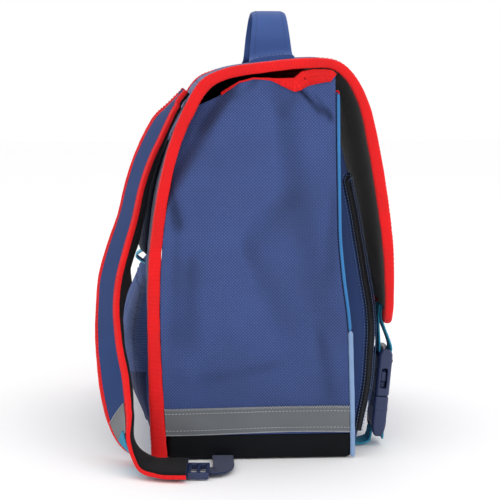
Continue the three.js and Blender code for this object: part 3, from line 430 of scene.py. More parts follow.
class Net:
    """Short calls for building a node tree."""

    def __init__(self, material, shader, color):
        self.tree = material.node_tree
        self.shader = shader
        self.color = color

    def node(self, kind, **settings):
        made = self.tree.nodes.new(kind)
        for key, value in settings.items():
            setattr(made, key, value)
        return made

    def put(self, target, value):
        if isinstance(value, bpy.types.NodeSocket):
            self.tree.links.new(value, target)
        else:
            target.default_value = value

    def math(self, operation, *values):
        made = self.node("ShaderNodeMath", operation=operation)
        for socket, value in zip(made.inputs, values):
            self.put(socket, value)
        return made.outputs[0]

    def split(self, vector):
        parts = self.node("ShaderNodeSeparateXYZ")
        self.put(parts.inputs[0], vector)
        return parts.outputs

    def uv(self):
        return self.split(self.node("ShaderNodeUVMap", uv_map="cloth").outputs[0])[:2]

    def place(self):
        return self.node("ShaderNodeTexCoord").outputs["Object"]

    def noise(self, scale, detail=2.0):
        made = self.node("ShaderNodeTexNoise")
        made.inputs["Scale"].default_value = scale
        made.inputs["Detail"].default_value = detail
        self.put(made.inputs["Vector"], self.place())
        return made.outputs["Fac"]

    def wave(self, value, pitch):
        """A sine of a length in metres, from 0 to 1."""
        turned = self.math("SINE", self.math("MULTIPLY", value, 2 * math.pi / pitch))
        return self.math("MULTIPLY_ADD", turned, 0.5, 0.5)

    def spread(self, value, low, high, out_low=0.0, out_high=1.0):
        made = self.node("ShaderNodeMapRange", clamp=True)
        keys = ("Value", "From Min", "From Max", "To Min", "To Max")
        for key, number in zip(keys, (value, low, high, out_low, out_high)):
            self.put(made.inputs[key], number)
        return made.outputs["Result"]

    def vary(self, noise, size):
        """A factor that wanders round 1 by a share."""
        return self.spread(noise, 0.3, 0.7, 1 - size, 1 + size)

    def mix(self, factor, first, second):
        made = self.node("ShaderNodeMix", data_type="RGBA")
        self.put(made.inputs["Factor"], factor)
        for key, value in (("A", first), ("B", second)):
            socket = next(s for s in made.inputs if s.name == key and s.type == "RGBA")
            socket.default_value = (*value, 1)
        return next(s for s in made.outputs if s.type == "RGBA")

    def dress(self, shade, height, depth, distance):
        """Set the colour, darker or lighter by shade, and the bump."""
        dark, light = (tuple(value * share for value in self.color) for share in (0.35, 1.65))
        self.put(self.shader.inputs["Base Color"], self.mix(self.spread(shade, 0.35, 1.65), dark, light))
        made = self.node("ShaderNodeBump")
        made.inputs["Strength"].default_value = depth
        made.inputs["Distance"].default_value = distance
        self.put(made.inputs["Height"], height)
        self.put(self.shader.inputs["Normal"], made.outputs["Normal"])

    def roughen(self, noise, rough, size):
        low, high = max(0, rough - size), min(1, rough + size)
        self.put(self.shader.inputs["Roughness"], self.spread(noise, 0.3, 0.7, low, high))


def woven(name, color, pitch, depth=0.5, contrast=0.45, sheen=0.25, patch=0.1, specular=0.3,
          fall=0.0, painted_crease_shade=0.0):
    """Plain weave: threads cross at each pitch. As shares, fall paints shade on its foot, which the lamps
    light less than its top, and the last argument paints shade in its creases and behind its fold.
    """
    rough = 0.85
    material, shader = new_material(name, color, rough, sheen, specular)
    net = Net(material, shader, color)
    u, v = net.uv()
    wander = net.noise(260)
    u = net.math("MULTIPLY_ADD", wander, pitch * 0.0007, u)
    v = net.math("MULTIPLY_ADD", wander, -pitch * 0.0006, v)
    turned = [net.math("MULTIPLY", value, math.pi / (pitch * MM)) for value in (u, v)]
    cross = net.math("MULTIPLY", *(net.math("SINE", value) for value in turned))
    lanes = net.math("MULTIPLY", *(net.math("ABSOLUTE", net.math("COSINE", value)) for value in turned))
    height = net.math("ADD", net.math("MULTIPLY_ADD", cross, 0.5, 0.5), net.math("MULTIPLY", lanes, -0.55))
    height = net.math("MULTIPLY_ADD", net.noise(1500, 1), 0.35, height)
    soft = net.noise(22, 3)
    shade = net.math("MULTIPLY_ADD", height, contrast, 1 - contrast * 0.45)
    shade = net.math("MULTIPLY", shade, net.vary(soft, patch))
    # Painted shade: darker towards the foot, where the lamps above light the cloth less.
    if fall:
        high = net.split(net.place())[2]
        shade = net.math("MULTIPLY", shade, net.spread(high, 0.02, 0.15, 1 - fall, 1))
    # Painted shade in the creases and behind the diagonal fold, read from the wall's own attribute.
    if painted_crease_shade:
        folded = net.node("ShaderNodeAttribute", attribute_name="painted_crease_shade").outputs["Fac"]
        shade = net.math("MULTIPLY", shade, net.spread(folded, 0.0, 3.0, 1, 1 - painted_crease_shade))
    net.dress(shade, height, depth, pitch * MM * 0.3)
    net.roughen(soft, rough, 0.06)
    return material


def ribbed(name, color, pitch, cross_pitch=1.1, depth=0.6, contrast=0.4, sheen=0.2):
    """Grosgrain tape or webbing: ribs lie across its length, with fine threads over them."""
    rough = 0.8
    material, shader = new_material(name, color, rough, sheen)
    net = Net(material, shader, color)
    u, v = net.uv()
    u = net.math("MULTIPLY_ADD", net.noise(120), pitch * 0.0008, u)
    height = net.math("MULTIPLY_ADD", net.wave(v, cross_pitch * MM), 0.35, net.wave(u, pitch * MM))
    height = net.math("MULTIPLY_ADD", net.noise(1300, 1), 0.4, height)
    soft = net.noise(28, 3)
    shade = net.math("MULTIPLY_ADD", height, contrast * 0.6, 1 - contrast * 0.5)
    net.dress(net.math("MULTIPLY", shade, net.vary(soft, 0.08)), height, depth, pitch * MM * 0.3)
    net.roughen(soft, rough, 0.06)
    return material


def meshed(name, color, pitch, hole=0.3, rib=0.0, sheen=0.1):
    """Air mesh: rounded holes in staggered rows, with ribs where rib is a pitch in millimetres."""
    material, shader = new_material(name, color, 0.9, sheen)
    net = Net(material, shader, color)
    u, v = net.uv()
    turn = 2 * math.pi / (pitch * MM)
    rows = net.math("MULTIPLY", *(net.math("COSINE", net.math("MULTIPLY", value, turn)) for value in (u, v)))
    height = net.spread(rows, -0.9, 0.6)
    if rib:
        bend = net.math("MULTIPLY_ADD", net.noise(14, 1), 0.004, v)
        height = net.math("MULTIPLY_ADD", net.wave(bend, rib * MM), 0.9, net.math("MULTIPLY", height, 0.5))
    height = net.math("MULTIPLY_ADD", net.noise(1200, 1), 0.3, height)
    deep = net.spread(height, 0.0, 1.3, 1 - hole * 1.6, 1 + hole * 0.6)
    net.dress(net.math("MULTIPLY", deep, net.vary(net.noise(25), 0.1)), height, 0.8, 0.0008)
    return material


def plain(name, color, rough, grain=0.15, depth=0.15, specular=0.4, edge_highlight=0.0, scale=900):
    """Moulded plastic, coated sheet or thread: a fine grain, with a painted highlight that makes convex edges
    paler where its share is set.
    """
    material, shader = new_material(name, color, rough, 0.0, specular)
    net = Net(material, shader, color)
    fine, soft = net.noise(scale), net.noise(35, 3)
    shade = net.math("MULTIPLY", net.vary(soft, grain), net.vary(fine, grain * 0.6))
    # Painted highlight: convex edges, found by their pointiness, are made paler.
    if edge_highlight:
        edge = net.node("ShaderNodeNewGeometry").outputs["Pointiness"]
        shade = net.math("ADD", shade, net.math("MULTIPLY", net.spread(edge, 0.52, 0.6), edge_highlight))
    net.dress(shade, fine, depth, 0.0003)
    net.roughen(soft, rough, 0.07)
    return material


cloth = {
    "panel": woven("panel_cloth", rgb(58, 75, 125), 1.5, depth=0.8, contrast=0.8, patch=0.09, sheen=0.12),
    # The side cloth carries painted shade: darker towards its foot, in its creases and behind its fold.
    "side": woven("side_cloth", rgb(61, 80, 133), 1.5, depth=0.8, contrast=0.8, patch=0.09, sheen=0.12,
                  fall=0.2, painted_crease_shade=0.45),
    "lid": woven("lid_cloth", rgb(62, 76, 130), 1.5, depth=0.7, contrast=0.6, patch=0.09, sheen=0.25),
    "handle": woven("handle_cloth", rgb(66, 90, 146), 0.7, depth=0.3, contrast=0.25, patch=0.06, sheen=0.1,
                    specular=0.15),
    "strap": woven("strap_cloth", rgb(44, 65, 113), 0.8, depth=0.4, contrast=0.3, patch=0.06, sheen=0.04,
                   specular=0.1),
    # A darker copy of the panel cloth: painted shade on the lower cushion's foot, below its mesh.
    "panel_painted_shade": woven("shaded_panel_cloth", rgb(34, 44, 84), 1.3, depth=0.5, contrast=0.45, patch=0.06, sheen=0.1),
    # The inner sides' lining: near-black, which also paints the shade inside the bag.
    "lining": woven("lining_and_shade_cloth", rgb(17, 21, 36), 1.1, depth=0.4, contrast=0.35),
    "pocket": woven("pocket_cloth", rgb(42, 62, 108), 0.8, depth=0.3, contrast=0.25, patch=0.08, sheen=0.08),
    "tape": ribbed("red_tape", rgb(238, 22, 26), 1.25, depth=0.9, contrast=0.5, sheen=0.04),
    "hem": ribbed("hem_tape", rgb(229, 19, 22), 1.25, depth=0.9, contrast=0.5, sheen=0.04),
    "mesh": meshed("rib_mesh", rgb(68, 90, 146), 1.6, rib=2.6, hole=0.3),
    # The upper cushion's mesh, much darker than the lower one's: painted shade.
    "mesh_painted_shade": meshed("dark_mesh", rgb(22, 31, 56), 1.8, hole=0.4, sheen=0.05),
    "reflective": plain("reflective_sheet", rgb(92, 96, 100), 0.42, grain=0.06, specular=0.6, scale=1600),
    # The base and the buckle plastic get paler convex edges: a painted highlight.
    "base": plain("base_sheet", rgb(13, 16, 20), 0.6, grain=0.2, specular=0.1, edge_highlight=0.08, scale=1400),
    "sky": ribbed("sky_piping", rgb(58, 126, 186), 0.8, contrast=0.25, sheen=0.05),
    "pale": ribbed("pale_piping", rgb(132, 160, 198), 0.9, contrast=0.25, sheen=0.05),
    "webbing": ribbed("teal_webbing", rgb(44, 146, 180), 1.3, 1.5, depth=0.8, contrast=0.6, sheen=0.05),
    # Navy webbing for the anchors by the floor, made darker to paint the shade it lies in.
    "navy_and_shade_webbing": ribbed("navy_and_shade_webbing", rgb(30, 42, 78), 1.3, 1.5, depth=0.7, contrast=0.5),
    "strap_lining": meshed("strap_mesh", rgb(7, 9, 15), 1.8, hole=0.4, sheen=0.03),
    "webbing_pale": ribbed("pale_webbing", rgb(120, 200, 230), 1.3, 1.5, depth=0.8, contrast=0.5),
    # Paler convex edges: a painted highlight.
    "plastic": plain("buckle_plastic", rgb(38, 50, 86), 0.4, grain=0.08, depth=0.1, specular=0.45, edge_highlight=0.35),
    "zip": ribbed("zip_tape", rgb(10, 12, 18), 0.9, depth=0.4, contrast=0.4, sheen=0.0),
    "zip_coil": plain("zip_coil", rgb(28, 32, 40), 0.45, specular=0.5),
    "thread_red": plain("red_thread", rgb(205, 26, 32), 0.7, scale=2500),
    "thread_navy": plain("navy_thread", rgb(60, 76, 124), 0.7, scale=2500),
    "thread_pale": plain("pale_thread", rgb(196, 200, 206), 0.7, scale=2500),
    "thread_blue": plain("blue_thread", rgb(96, 124, 176), 0.7, scale=2500),
}

made = []


def stands(piece, nodes):
    """The piece rides on the bag and stands for the CAD nodes given."""
    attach(piece, "root")
    if nodes:
        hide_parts(*nodes)
    made.append(piece)
    return piece


# The spine: the curve that back and flap follow
half = bag_width / 2
sheet_half = half - clearance - tape_thickness
spine_line = spine_rows[:, :2] * (bag_depth, bag_height)
spine_curve = Curve(np.column_stack([np.zeros(len(spine_line)), spine_line]))
spine_length = spine_curve.length


def spine_value(s, column):
    return along_rows(spine_rows, spine_curve.row(s / spine_length), column)


def spine_normal(s):
    tangent = spine_curve.direction(np.clip(s / spine_length, 0, 1))
    return unit(np.stack([np.zeros_like(tangent[..., 0]), tangent[..., 2], -tangent[..., 1]], -1))


def spine_tape(s):
    return spine_value(s, 2) * edge_tape_width


def spine_sheet(s):
    return spine_tape(s) - 2 * (tape_room + tape_thickness)


def spine_crown(s, x):
    size = back_crown + (flap_crown - back_crown) * smooth(s / spine_length * 2 - 0.5)
    return spine_value(s, 3) * size * (1 - (x / sheet_half) ** 2)


def spine_point(s, x, lift=0.0):
    s, x = np.broadcast_arrays(np.asarray(s, float), np.asarray(x, float))
    centre = spine_curve.place(np.clip(s / spine_length, 0, 1))
    place = centre + spine_normal(s) * (spine_crown(s, x) + lift)[..., None]
    place[..., 0] = x
    return place


corner_start = spine_length - flap_corner_radius


def flap_half(s):
    """Half the flap's width at s, drawn in round its lower corners."""
    into = np.clip((s - corner_start) / flap_corner_radius, 0, 1)
    return sheet_half - flap_corner_radius * (1 - np.sqrt(np.maximum(0, 1 - into**2)))


def spine_stations(first, last, count):
    straight = np.linspace(first, min(last, corner_start), count)
    if last <= corner_start:
        return straight
    angles = np.linspace(0, math.pi / 2, 15)[1:]
    return np.concatenate([straight, corner_start + flap_corner_radius * np.sin(angles)])


split_at = np.interp(split_row / (len(spine_rows) - 1), spine_curve.times, spine_curve.lengths)


def spine_panel(name, first, last, count, columns, wrinkle, material):
    s = spine_stations(first, last, count)[:, None]
    across = np.linspace(-1, 1, columns)[None, :]
    x = across * flap_half(s)
    edge = (1 - np.abs(across)) * sheet_half
    calm = smooth(edge / 26)
    puff = 0.9 * smooth(edge / 14) + wrinkle * calm * soft_noise(s / 31, x / 37, 0.7)
    pucker = 0.28 * np.sin(s / 1.9 + 0.8 * np.sin(s / 7)) * np.exp(-((edge - tape_lip - 2.5) / 4) ** 2)
    outer = spine_point(s, x, spine_sheet(s) / 2 - 0.5 * smooth(1 - edge / 11) + puff + pucker)
    inner = spine_point(s, x, -spine_sheet(s) / 2)
    return sheet_piece(name, outer, inner, material, lining=cloth["lining"])


back = spine_panel("back_cover", clearance, split_at - clearance / 2, 150, 70, 0.7, cloth["lid"])
stands(back, ["back_panel"])

flap = spine_panel("flap_cover", split_at + clearance / 2, spine_length, 170, 70, 0.9, cloth["lid"])
stands(flap, ["flap"])


def tape_section(lip, inside, wall, bulge, sag=0.0):
    """A tape folded round an edge: open towards +x, rounded at -x."""
    outside = inside + wall
    angles = np.linspace(math.pi / 2, -math.pi / 2, 13)
    round_x = -clearance - bulge * np.abs(np.cos(angles)) ** 0.75
    round_y = outside * np.sign(np.sin(angles)) * np.abs(np.sin(angles)) ** 0.8
    edge = [(lip + 0.2, inside + wall * 0.4), (lip - 0.4, outside + 0.05), (lip * 0.5, outside + 0.12 - sag)]
    other_edge = [(x, -y) for x, y in reversed(edge)]
    within = [(lip, -inside), (-clearance, -inside), (-clearance, inside), (lip, inside)]
    return np.array(edge + list(zip(round_x, round_y)) + other_edge + within)


def binding_route():
    """Up the back's left edge, over the top, round the flap and back down the right edge."""
    left = [(s, -sheet_half) for s in np.linspace(0, corner_start, 420)]
    for angle in np.linspace(0, math.pi / 2, 26)[1:]:
        left.append((corner_start + flap_corner_radius * math.sin(angle),
                     -sheet_half + flap_corner_radius * (1 - math.cos(angle))))
    flat_half = sheet_half - flap_corner_radius
    bottom = [(spine_length, x) for x in np.linspace(-flat_half, flat_half, 90)[1:-1]]
    return np.array(left + bottom + [(s, -x) for s, x in reversed(left)])


def make_edge_binding():
    s, x = binding_route().T
    places = spine_point(s, x)
    tangent = unit(np.gradient(places, axis=0))
    step = 0.5
    along = spine_point(np.minimum(s + step, spine_length), x) - spine_point(np.maximum(s - step, 0), x)
    across = spine_point(s, x + step) - spine_point(s, x - step)
    up = unit(np.cross(along, across))
    up *= np.sign(np.sum(up * spine_normal(s), axis=1, keepdims=True))
    right = unit(np.cross(up, tangent))
    middle = spine_point(np.minimum(s, corner_start), 0)
    right *= np.sign(np.sum(right * (middle - places), axis=1, keepdims=True))
    reach = reach_of(places)
    swell = 1 + 0.03 * np.sin(reach / 4.1 + 1.3 * np.sin(reach / 17)) + 0.03 * np.sin(reach / 29)
    inside = spine_sheet(s) / 2 + tape_room
    sections = np.array([tape_section(tape_lip, room, tape_thickness, 2.5) for room in inside * swell])
    places[[0, -1], 2] += clearance
    piece = sweep_piece("edge_binding_tape", places, right, up, sections, cloth["tape"])
    threads = []
    lift = inside + tape_thickness + 0.15
    for face in (1, -1):
        line = places + right * (tape_lip - stitch_inset) + up * (face * lift)[:, None]
        threads.append(stitches("binding_stitch", line, up * face, cloth["thread_red"], height=0.16))
    return piece, join_pieces("binding_stitches", threads)


edge_binding, binding_stitches = make_edge_binding()
stands(edge_binding, ["edge_binding"])
stands(binding_stitches, [])


# Side walls
def corner_line(z):
    return table(corner_rows, 0, z / bag_height, 1) * bag_depth


fine_s = np.linspace(0, corner_start, 900)
inside_depth = spine_tape(fine_s) / 2 + clearance
inside_points = spine_point(fine_s, sheet_half) - spine_normal(fine_s) * inside_depth[:, None]
highest = int(np.argmax(inside_points[:, 2]))
split_index = int(np.searchsorted(fine_s, split_at)) - 40
back_line = inside_points[:highest]
roof_line = inside_points[split_index:]


def back_edge(z):
    return table(back_line, 2, z, 1)


def roof_above(y):
    return table(roof_line, 1, y, 2)


side_outside = half - side_inset
side_foot = base_height + clearance
piping_room = lower_piping_width / 2 + clearance
rim_back = rim_rows[0, 0] * bag_depth
rim_front = rim_rows[-1, 0] * bag_depth


def rim_height(y, side):
    """The left wall's top edge sags as in its table. The right wall's stays up against the flap."""
    wanted = table(rim_rows, 0, y / bag_depth, 1) * bag_height
    roof = roof_above(y) - tape_thickness - 2 * clearance
    return np.minimum(wanted, roof) if side < 0 else np.clip(roof + 2, wanted - 2, wanted + 20)


fold_top = (0.05, 0.966)
fold_foot = (0.37, 0.64)


def beyond_fold(y, z):
    """How far a point of the side wall lies past its diagonal fold, towards the back's upper corner."""
    ay, az = fold_top[0] * bag_depth, fold_top[1] * bag_height
    dy, dz = fold_foot[0] * bag_depth - ay, fold_foot[1] * bag_height - az
    return ((y - ay) * -dz + (z - az) * dy) / math.hypot(dy, dz)


def side_lean(y, z):
    beyond = beyond_fold(y, z) / fold_depth
    return fold_depth * (0.4 * smooth(beyond / 0.6) + 0.6 * smooth(beyond / 2.2))


# Creases on the side wall: from (y, z) to (y, z), how deep and how wide, in millimetres.
creases = np.array([
    (12, 352, 40, 300, -2.0, 8), (40, 300, 66, 258, -2.0, 8), (84, 262, 74, 226, 3.6, 5),
    (70, 254, 62, 200, -1.6, 8), (-40, 352, -58, 333, 3.6, 2.6), (-46, 352, -62, 338, -2.4, 3.5),
    (-53, 347, -69, 326, 3.4, 2.8), (-70, 350, -76, 326, -2.0, 4), (-36, 352, -24, 330, 0.9, 6),
    (2, 362, 20, 344, 2.4, 5), (24, 350, 52, 318, 1.8, 6), (-20, 340, -60, 150, 1.6, 15),
    (30, 250, 20, 110, -1.5, 17), (62, 200, 66, 120, 1.8, 9), (-10, 90, 50, 78, 1.3, 7),
    (40, 106, 70, 84, -1.3, 6), (-60, 118, -70, 60, 1.5, 7), (-72, 250, -70, 180, 1.5, 6),
    (76, 210, 80, 120, 1.2, 6), (-30, 250, 10, 205, 1.2, 13), (10, 200, -30, 130, 1.2, 12),
    (-8, 330, 4, 262, -1.3, 13),
])


def crease_depth(y, z):
    depth = 0.0 * y
    for ay, az, by, bz, size, width in creases:
        dy, dz = by - ay, bz - az
        long = math.hypot(dy, dz)
        share = ((y - ay) * dy + (z - az) * dz) / long**2
        off = ((y - ay) * dz - (z - az) * dy) / long
        wide = width * (0.7 + 0.6 * np.clip(share, 0, 1))
        fade = smooth((share + 0.35) / 0.45) * smooth((1.35 - share) / 0.45)
        depth = depth + size * np.exp(-(off / wide) ** 2) * fade
    return depth


def side_point(u, v, depth, side):
    rim_y = rim_back + (rim_front - rim_back) * u
    z = side_foot + (rim_height(rim_y, side) - side_foot) * v
    rim_z = rim_rows[0, 1] * bag_height
    back_y = np.maximum(rim_back, np.minimum(back_edge(z), back_edge(np.minimum(z, rim_z))))
    y = back_y + (corner_line(z) + piping_room - back_y) * u
    puff = side_puff * np.sin(math.pi * u) * np.sin(math.pi * np.minimum(1, v)) ** 2
    calm = smooth(np.minimum(u, 1 - u) / 0.05) * smooth(v / 0.05) * smooth((1.02 - v) / 0.06)
    relief = crease_depth(y, z) - 0.9 * soft_noise(y / 23, z / 31, 1.1) - 0.3 * soft_noise(y / 9, z / 13, 4.0)
    x = side_outside + puff - side_lean(y, z) - depth - calm * relief
    return np.stack([side * x, y, z], -1)


def crease_shade(grid):
    """How much painted shade darkens the wall: in its creases, and behind its diagonal fold."""
    y, z = grid[..., 1], grid[..., 2]
    fold = 1.7 * np.exp(-((beyond_fold(y, z) - 8) / 7) ** 2) * smooth((z - 235) / 40)
    return np.maximum(0, crease_depth(y, z)) + fold


def make_side(side, name):
    u = np.linspace(0, 1, 116)[None, :]
    v = np.linspace(0, 1, 190)[:, None]
    outer = side_point(u, v, 0, side)
    inner = side_point(u, v, cloth_thickness, side)
    uv = np.stack([outer[..., 1], outer[..., 2]], -1)
    piece = sheet_piece(f"side_cloth_{name}", outer, inner, cloth["side"], uv, cloth["lining"])
    # The painted shade goes to the side cloth's material as a point attribute.
    layer = piece.data.attributes.new("painted_crease_shade", "FLOAT", "POINT")
    layer.data.foreach_set("value", np.tile(crease_shade(outer).ravel(), 2).astype(np.float32))
    return piece


def hem_line(side):
    u = np.linspace(0.14, 1, 160)
    rim = side_point(u, 1 + 0 * u, cloth_thickness / 2, side)
    below = side_point(u, 0.93 + 0 * u, cloth_thickness / 2, side)
    along = unit(np.gradient(rim, axis=0))
    down = unit(below - rim)
    down = unit(down - along * np.sum(down * along, axis=1, keepdims=True))
    out = unit(np.cross(along, down))
    out *= np.sign(out[:, :1] * side)
    return rim, down, out


# How much of the side hem's tape shows along its length: depth in millimetres and share.
hem_rows = np.array([
    (-80, 0.5), (-74, 0.54), (-66, 0.66), (-55, 0.8), (-46, 0.86), (-38, 0.84), (-33, 0.74), (-27, 0.52),
    (-20, 0.26), (-12, 0.1), (-2, 0.05), (18, 0.05), (24, 0.14), (34, 0.18), (50, 0.1),
])


def make_side_hem(side, name):
    rim, down, out = hem_line(side)
    share = table(hem_rows, 0, rim[:, 1], 1)
    full = 0.3 + 0.7 * smooth((share - 0.08) / 0.3)
    sections = np.array([
        tape_section(hem_height * shown, cloth_thickness / 2 + hem_room * size,
                     tape_thickness * size, 1.7 * size)
        for shown, size in zip(share, full)
    ])
    piece = sweep_piece(f"side_hem_tape_{name}", rim, down, out, sections, cloth["hem"])
    lift = cloth_thickness / 2 + (hem_room + tape_thickness) * full + 0.12
    line = rim + down * np.maximum(0.5, hem_height * share - stitch_inset)[:, None] + out * lift[:, None]
    thread = stitches(f"side_hem_stitch_{name}", line, out, cloth["thread_red"], length=2.6, height=0.2)
    return piece, thread


def band_edges(y):
    """The reflective band's lower and upper height at depth y: it dips at the front."""
    share = (y / bag_depth + 0.41) / 0.8
    lower = side_foot + 1.2 + 1.1 * np.sin(share * 5.0)
    upper = side_foot + band_height + 1.4 * np.sin(share * 4.2 + 0.4) + 2.0 * smooth(share - 0.3)
    return lower, upper


def band_point(u, w, depth, side):
    """A point of the band, which lies on the side wall above the base."""
    back_y = back_edge(side_foot + 6)
    y = back_y + (corner_line(side_foot + 6) + piping_room - 0.6 - back_y) * u
    lower, upper = band_edges(y)
    z = lower + (upper - lower) * w
    rim_y = rim_back + (rim_front - rim_back) * u
    v = (z - side_foot) / (rim_height(rim_y, side) - side_foot)
    return side_point(u, v, depth, side)


overlock_pitch = 2.4


def zigzag(name, top, bottom, normals, material):
    """Overlock threads that run to and fro between two lines."""
    reach = reach_of(top)
    at = np.linspace(0, reach[-1], 2 * int(reach[-1] / overlock_pitch) + 1)
    high, low, normal = (along_line(line, reach, at) for line in (top, bottom, normals))
    normal = unit(normal)
    points = np.where((np.arange(len(at)) % 2 == 0)[:, None], high, low)
    points = points + normal * (0.12 * np.sin(at * 2.9))[:, None]
    right = unit(np.cross(np.gradient(points, axis=0), normal))
    return sweep_piece(name, points, right, normal, capsule_ring(6, 0.25, 0.35), material)


def make_band(side, name):
    u = np.linspace(0, 1, 120)[None, :]
    w = np.linspace(0, 1, 12)[:, None]
    outer = band_point(u, w, -clearance - band_thickness, side)
    inner = band_point(u, w, -clearance, side)
    piece = sheet_piece(f"reflective_band_{name}", outer, inner, cloth["reflective"])
    normals = grid_normals(outer)
    normals *= np.sign(normals[..., :1] * side)
    threads = []
    for row, other in ((-1, -3), (0, 1)):
        line = outer[row] + (outer[row] - outer[other]) * 0.1
        inner_line = outer[row] + (outer[other] - outer[row]) * 0.35
        threads.append(zigzag(f"overlock_{row}", line, inner_line, normals[row], cloth["thread_pale"]))
    for row in (-3, 2):
        threads.append(stitches(f"band_stitch_{row}", outer[row] + normals[row] * 0.1, normals[row],
                                cloth["thread_pale"], length=2.2, width=0.45))
    return piece, join_pieces(f"band_threads_{name}", threads)


for side, name in sides:
    wall = make_side(side, name)
    stands(wall, [f"side_panel_{name}"])
    hem, hem_thread = make_side_hem(side, name)
    stands(hem, [f"side_hem_{name}"])
    stands(hem_thread, [])
    band, threads = make_band(side, name)
    stands(band, [f"reflective_band_{name}"])
    stands(threads, [])


# Front wall
front_half = side_outside - cloth_thickness - clearance


def front_surface(x, z):
    rise = np.sin(math.pi * np.clip(z / front_top, 0, 1))
    return corner_line(z) - front_crown * (1 - (x / front_half) ** 2) * rise


def front_grid(depth):
    x = np.linspace(-front_half, front_half, 60)[None, :]
    z = np.linspace(side_foot, front_top, 90)[:, None]
    x, z = np.broadcast_arrays(x, z)
    return np.stack([x, front_surface(x, z) + depth, z], -1)


front_outer, front_inner = front_grid(0), front_grid(cloth_thickness)
front = sheet_piece("front_cloth", front_outer, front_inner, cloth["panel"], lining=cloth["lining"])
stands(front, ["front_panel"])


def front_edge(x, z):
    """A line along the middle of the front wall's cloth at height z."""
    return np.stack([x, front_surface(x, z) + cloth_thickness / 2, z + 0 * x], 1)


def make_front_hem():
    x = np.linspace(-front_half + 2 * piping_radius, front_half - 2 * piping_radius, 90)
    rim, below = front_edge(x, front_top), front_edge(x, front_top - 10)
    along = unit(np.gradient(rim, axis=0))
    down = unit(below - rim)
    out = unit(np.cross(along, down))
    out *= -np.sign(out[:, 1:2])
    section = tape_section(hem_height, cloth_thickness / 2 + clearance, tape_thickness, 1.5)
    piece = sweep_piece("front_hem_tape", rim, down, out, section, cloth["hem"])
    lift = cloth_thickness / 2 + clearance + tape_thickness + 0.15
    line = rim + down * (hem_height - stitch_inset) + out * lift
    return piece, stitches("front_hem_stitches", line, out, cloth["thread_red"], length=2.6)


front_hem, front_hem_thread = make_front_hem()
stands(front_hem, ["front_hem"])
stands(front_hem_thread, [])


# Piping down the front corners
def make_piping(name, side, bottom, top, radius_x, radius_y, steps, material):
    z = np.linspace(bottom, top, steps)
    places = np.stack([side * (side_outside + 0.2) + 0 * z, corner_line(z), z], 1)
    places[:, 1] = np.convolve(np.pad(places[:, 1], 6, mode="edge"), np.ones(13) / 13, mode="valid")
    along = unit(np.gradient(places, axis=0))
    right = np.tile([1.0, 0, 0], (steps, 1))
    up = unit(np.cross(along, right))
    ends = np.minimum(z - bottom, top - z)
    size = 0.45 + 0.55 * smooth(ends / 2.5)
    sections = capsule_ring(16, radius_x, radius_y)[None] * size[:, None, None]
    sections = sections * (1 + 0.025 * np.sin(z / 3.1))[:, None, None]
    return sweep_piece(name, places, right, up, sections, material)


for side, name in sides:
    upper = make_piping(f"piping_upper_cord_{name}", side, lower_piping_top + clearance,
                        front_top - tape_thickness, piping_radius, piping_radius, 160, cloth["sky"])
    stands(upper, [f"piping_upper_{name}"])
    lower = make_piping(f"piping_lower_cord_{name}", side, clearance * 2, lower_piping_top,
                        piping_radius * 1.1, lower_piping_width / 2, 90, cloth["pale"])
    stands(lower, [f"piping_lower_{name}"])


# Base tub
def base_outline(inset):
    side = side_outside - inset
    front = corner_line(0) + 0.6 + inset
    back = back_edge(0) - inset
    radius = 5.0
    corners = [(side - radius, back - radius, 0), (-side + radius, back - radius, 90),
               (-side + radius, front + radius, 180), (side - radius, front + radius, 270)]
    points = []
    for cx, cy, start in corners:
        for angle in np.radians(np.linspace(start, start + 90, 7)):
            points.append((cx + radius * math.cos(angle), cy + radius * math.sin(angle)))
    outline = []
    for (ax, ay), (bx, by) in zip(points, points[1:] + points[:1]):
        steps = max(1, int(math.hypot(bx - ax, by - ay) / 6))
        outline += [(ax + (bx - ax) * i / steps, ay + (by - ay) * i / steps) for i in range(steps)]
    return np.array(outline)


def make_base():
    """The tub, from its underside out and up, then down its inside. rows holds height and inset."""
    rows = [
        (0.0, 4.0), (0.5, 2.2), (1.6, 0.9), (3.4, 0.2), (6, 0), (11, -0.3), (17, -0.2), (22, 0.1),
        (23.4, 0.3), (24, 0.9), (24, base_wall), (18, base_wall + 0.1), (6, base_wall + 0.1),
        (base_wall, base_wall + 1),
    ]
    outlines = [base_outline(inset) for height, inset in rows]
    count = min(len(outline) for outline in outlines)
    rings = []
    for (height, inset), outline in zip(rows, outlines):
        outline = outline[np.round(np.linspace(0, len(outline) - 1, count)).astype(int)]
        rings.append(np.column_stack([outline, np.full(count, float(height))]))
    rings = np.array(rings)
    uv = np.stack([np.broadcast_to(reach_of(rings[4]), rings.shape[:2]), rings[..., 2]], -1)
    faces = ring_faces(*rings.shape[:2])
    return make_object("base_tub", rings.reshape(-1, 3), faces, uv.reshape(-1, 2), cloth["base"])


stands(make_base(), ["base"])

# Front pocket
pocket_half = pocket_width / 2


pocket_line = Curve(pocket_rows).at(np.linspace(0, 1, 400))
plan_curve = Curve(pocket_plan)
pocket_steps = 46
pocket_levels = 120


def pocket_profile(share):
    return np.interp(share, pocket_line[:, 0], pocket_line[:, 1])


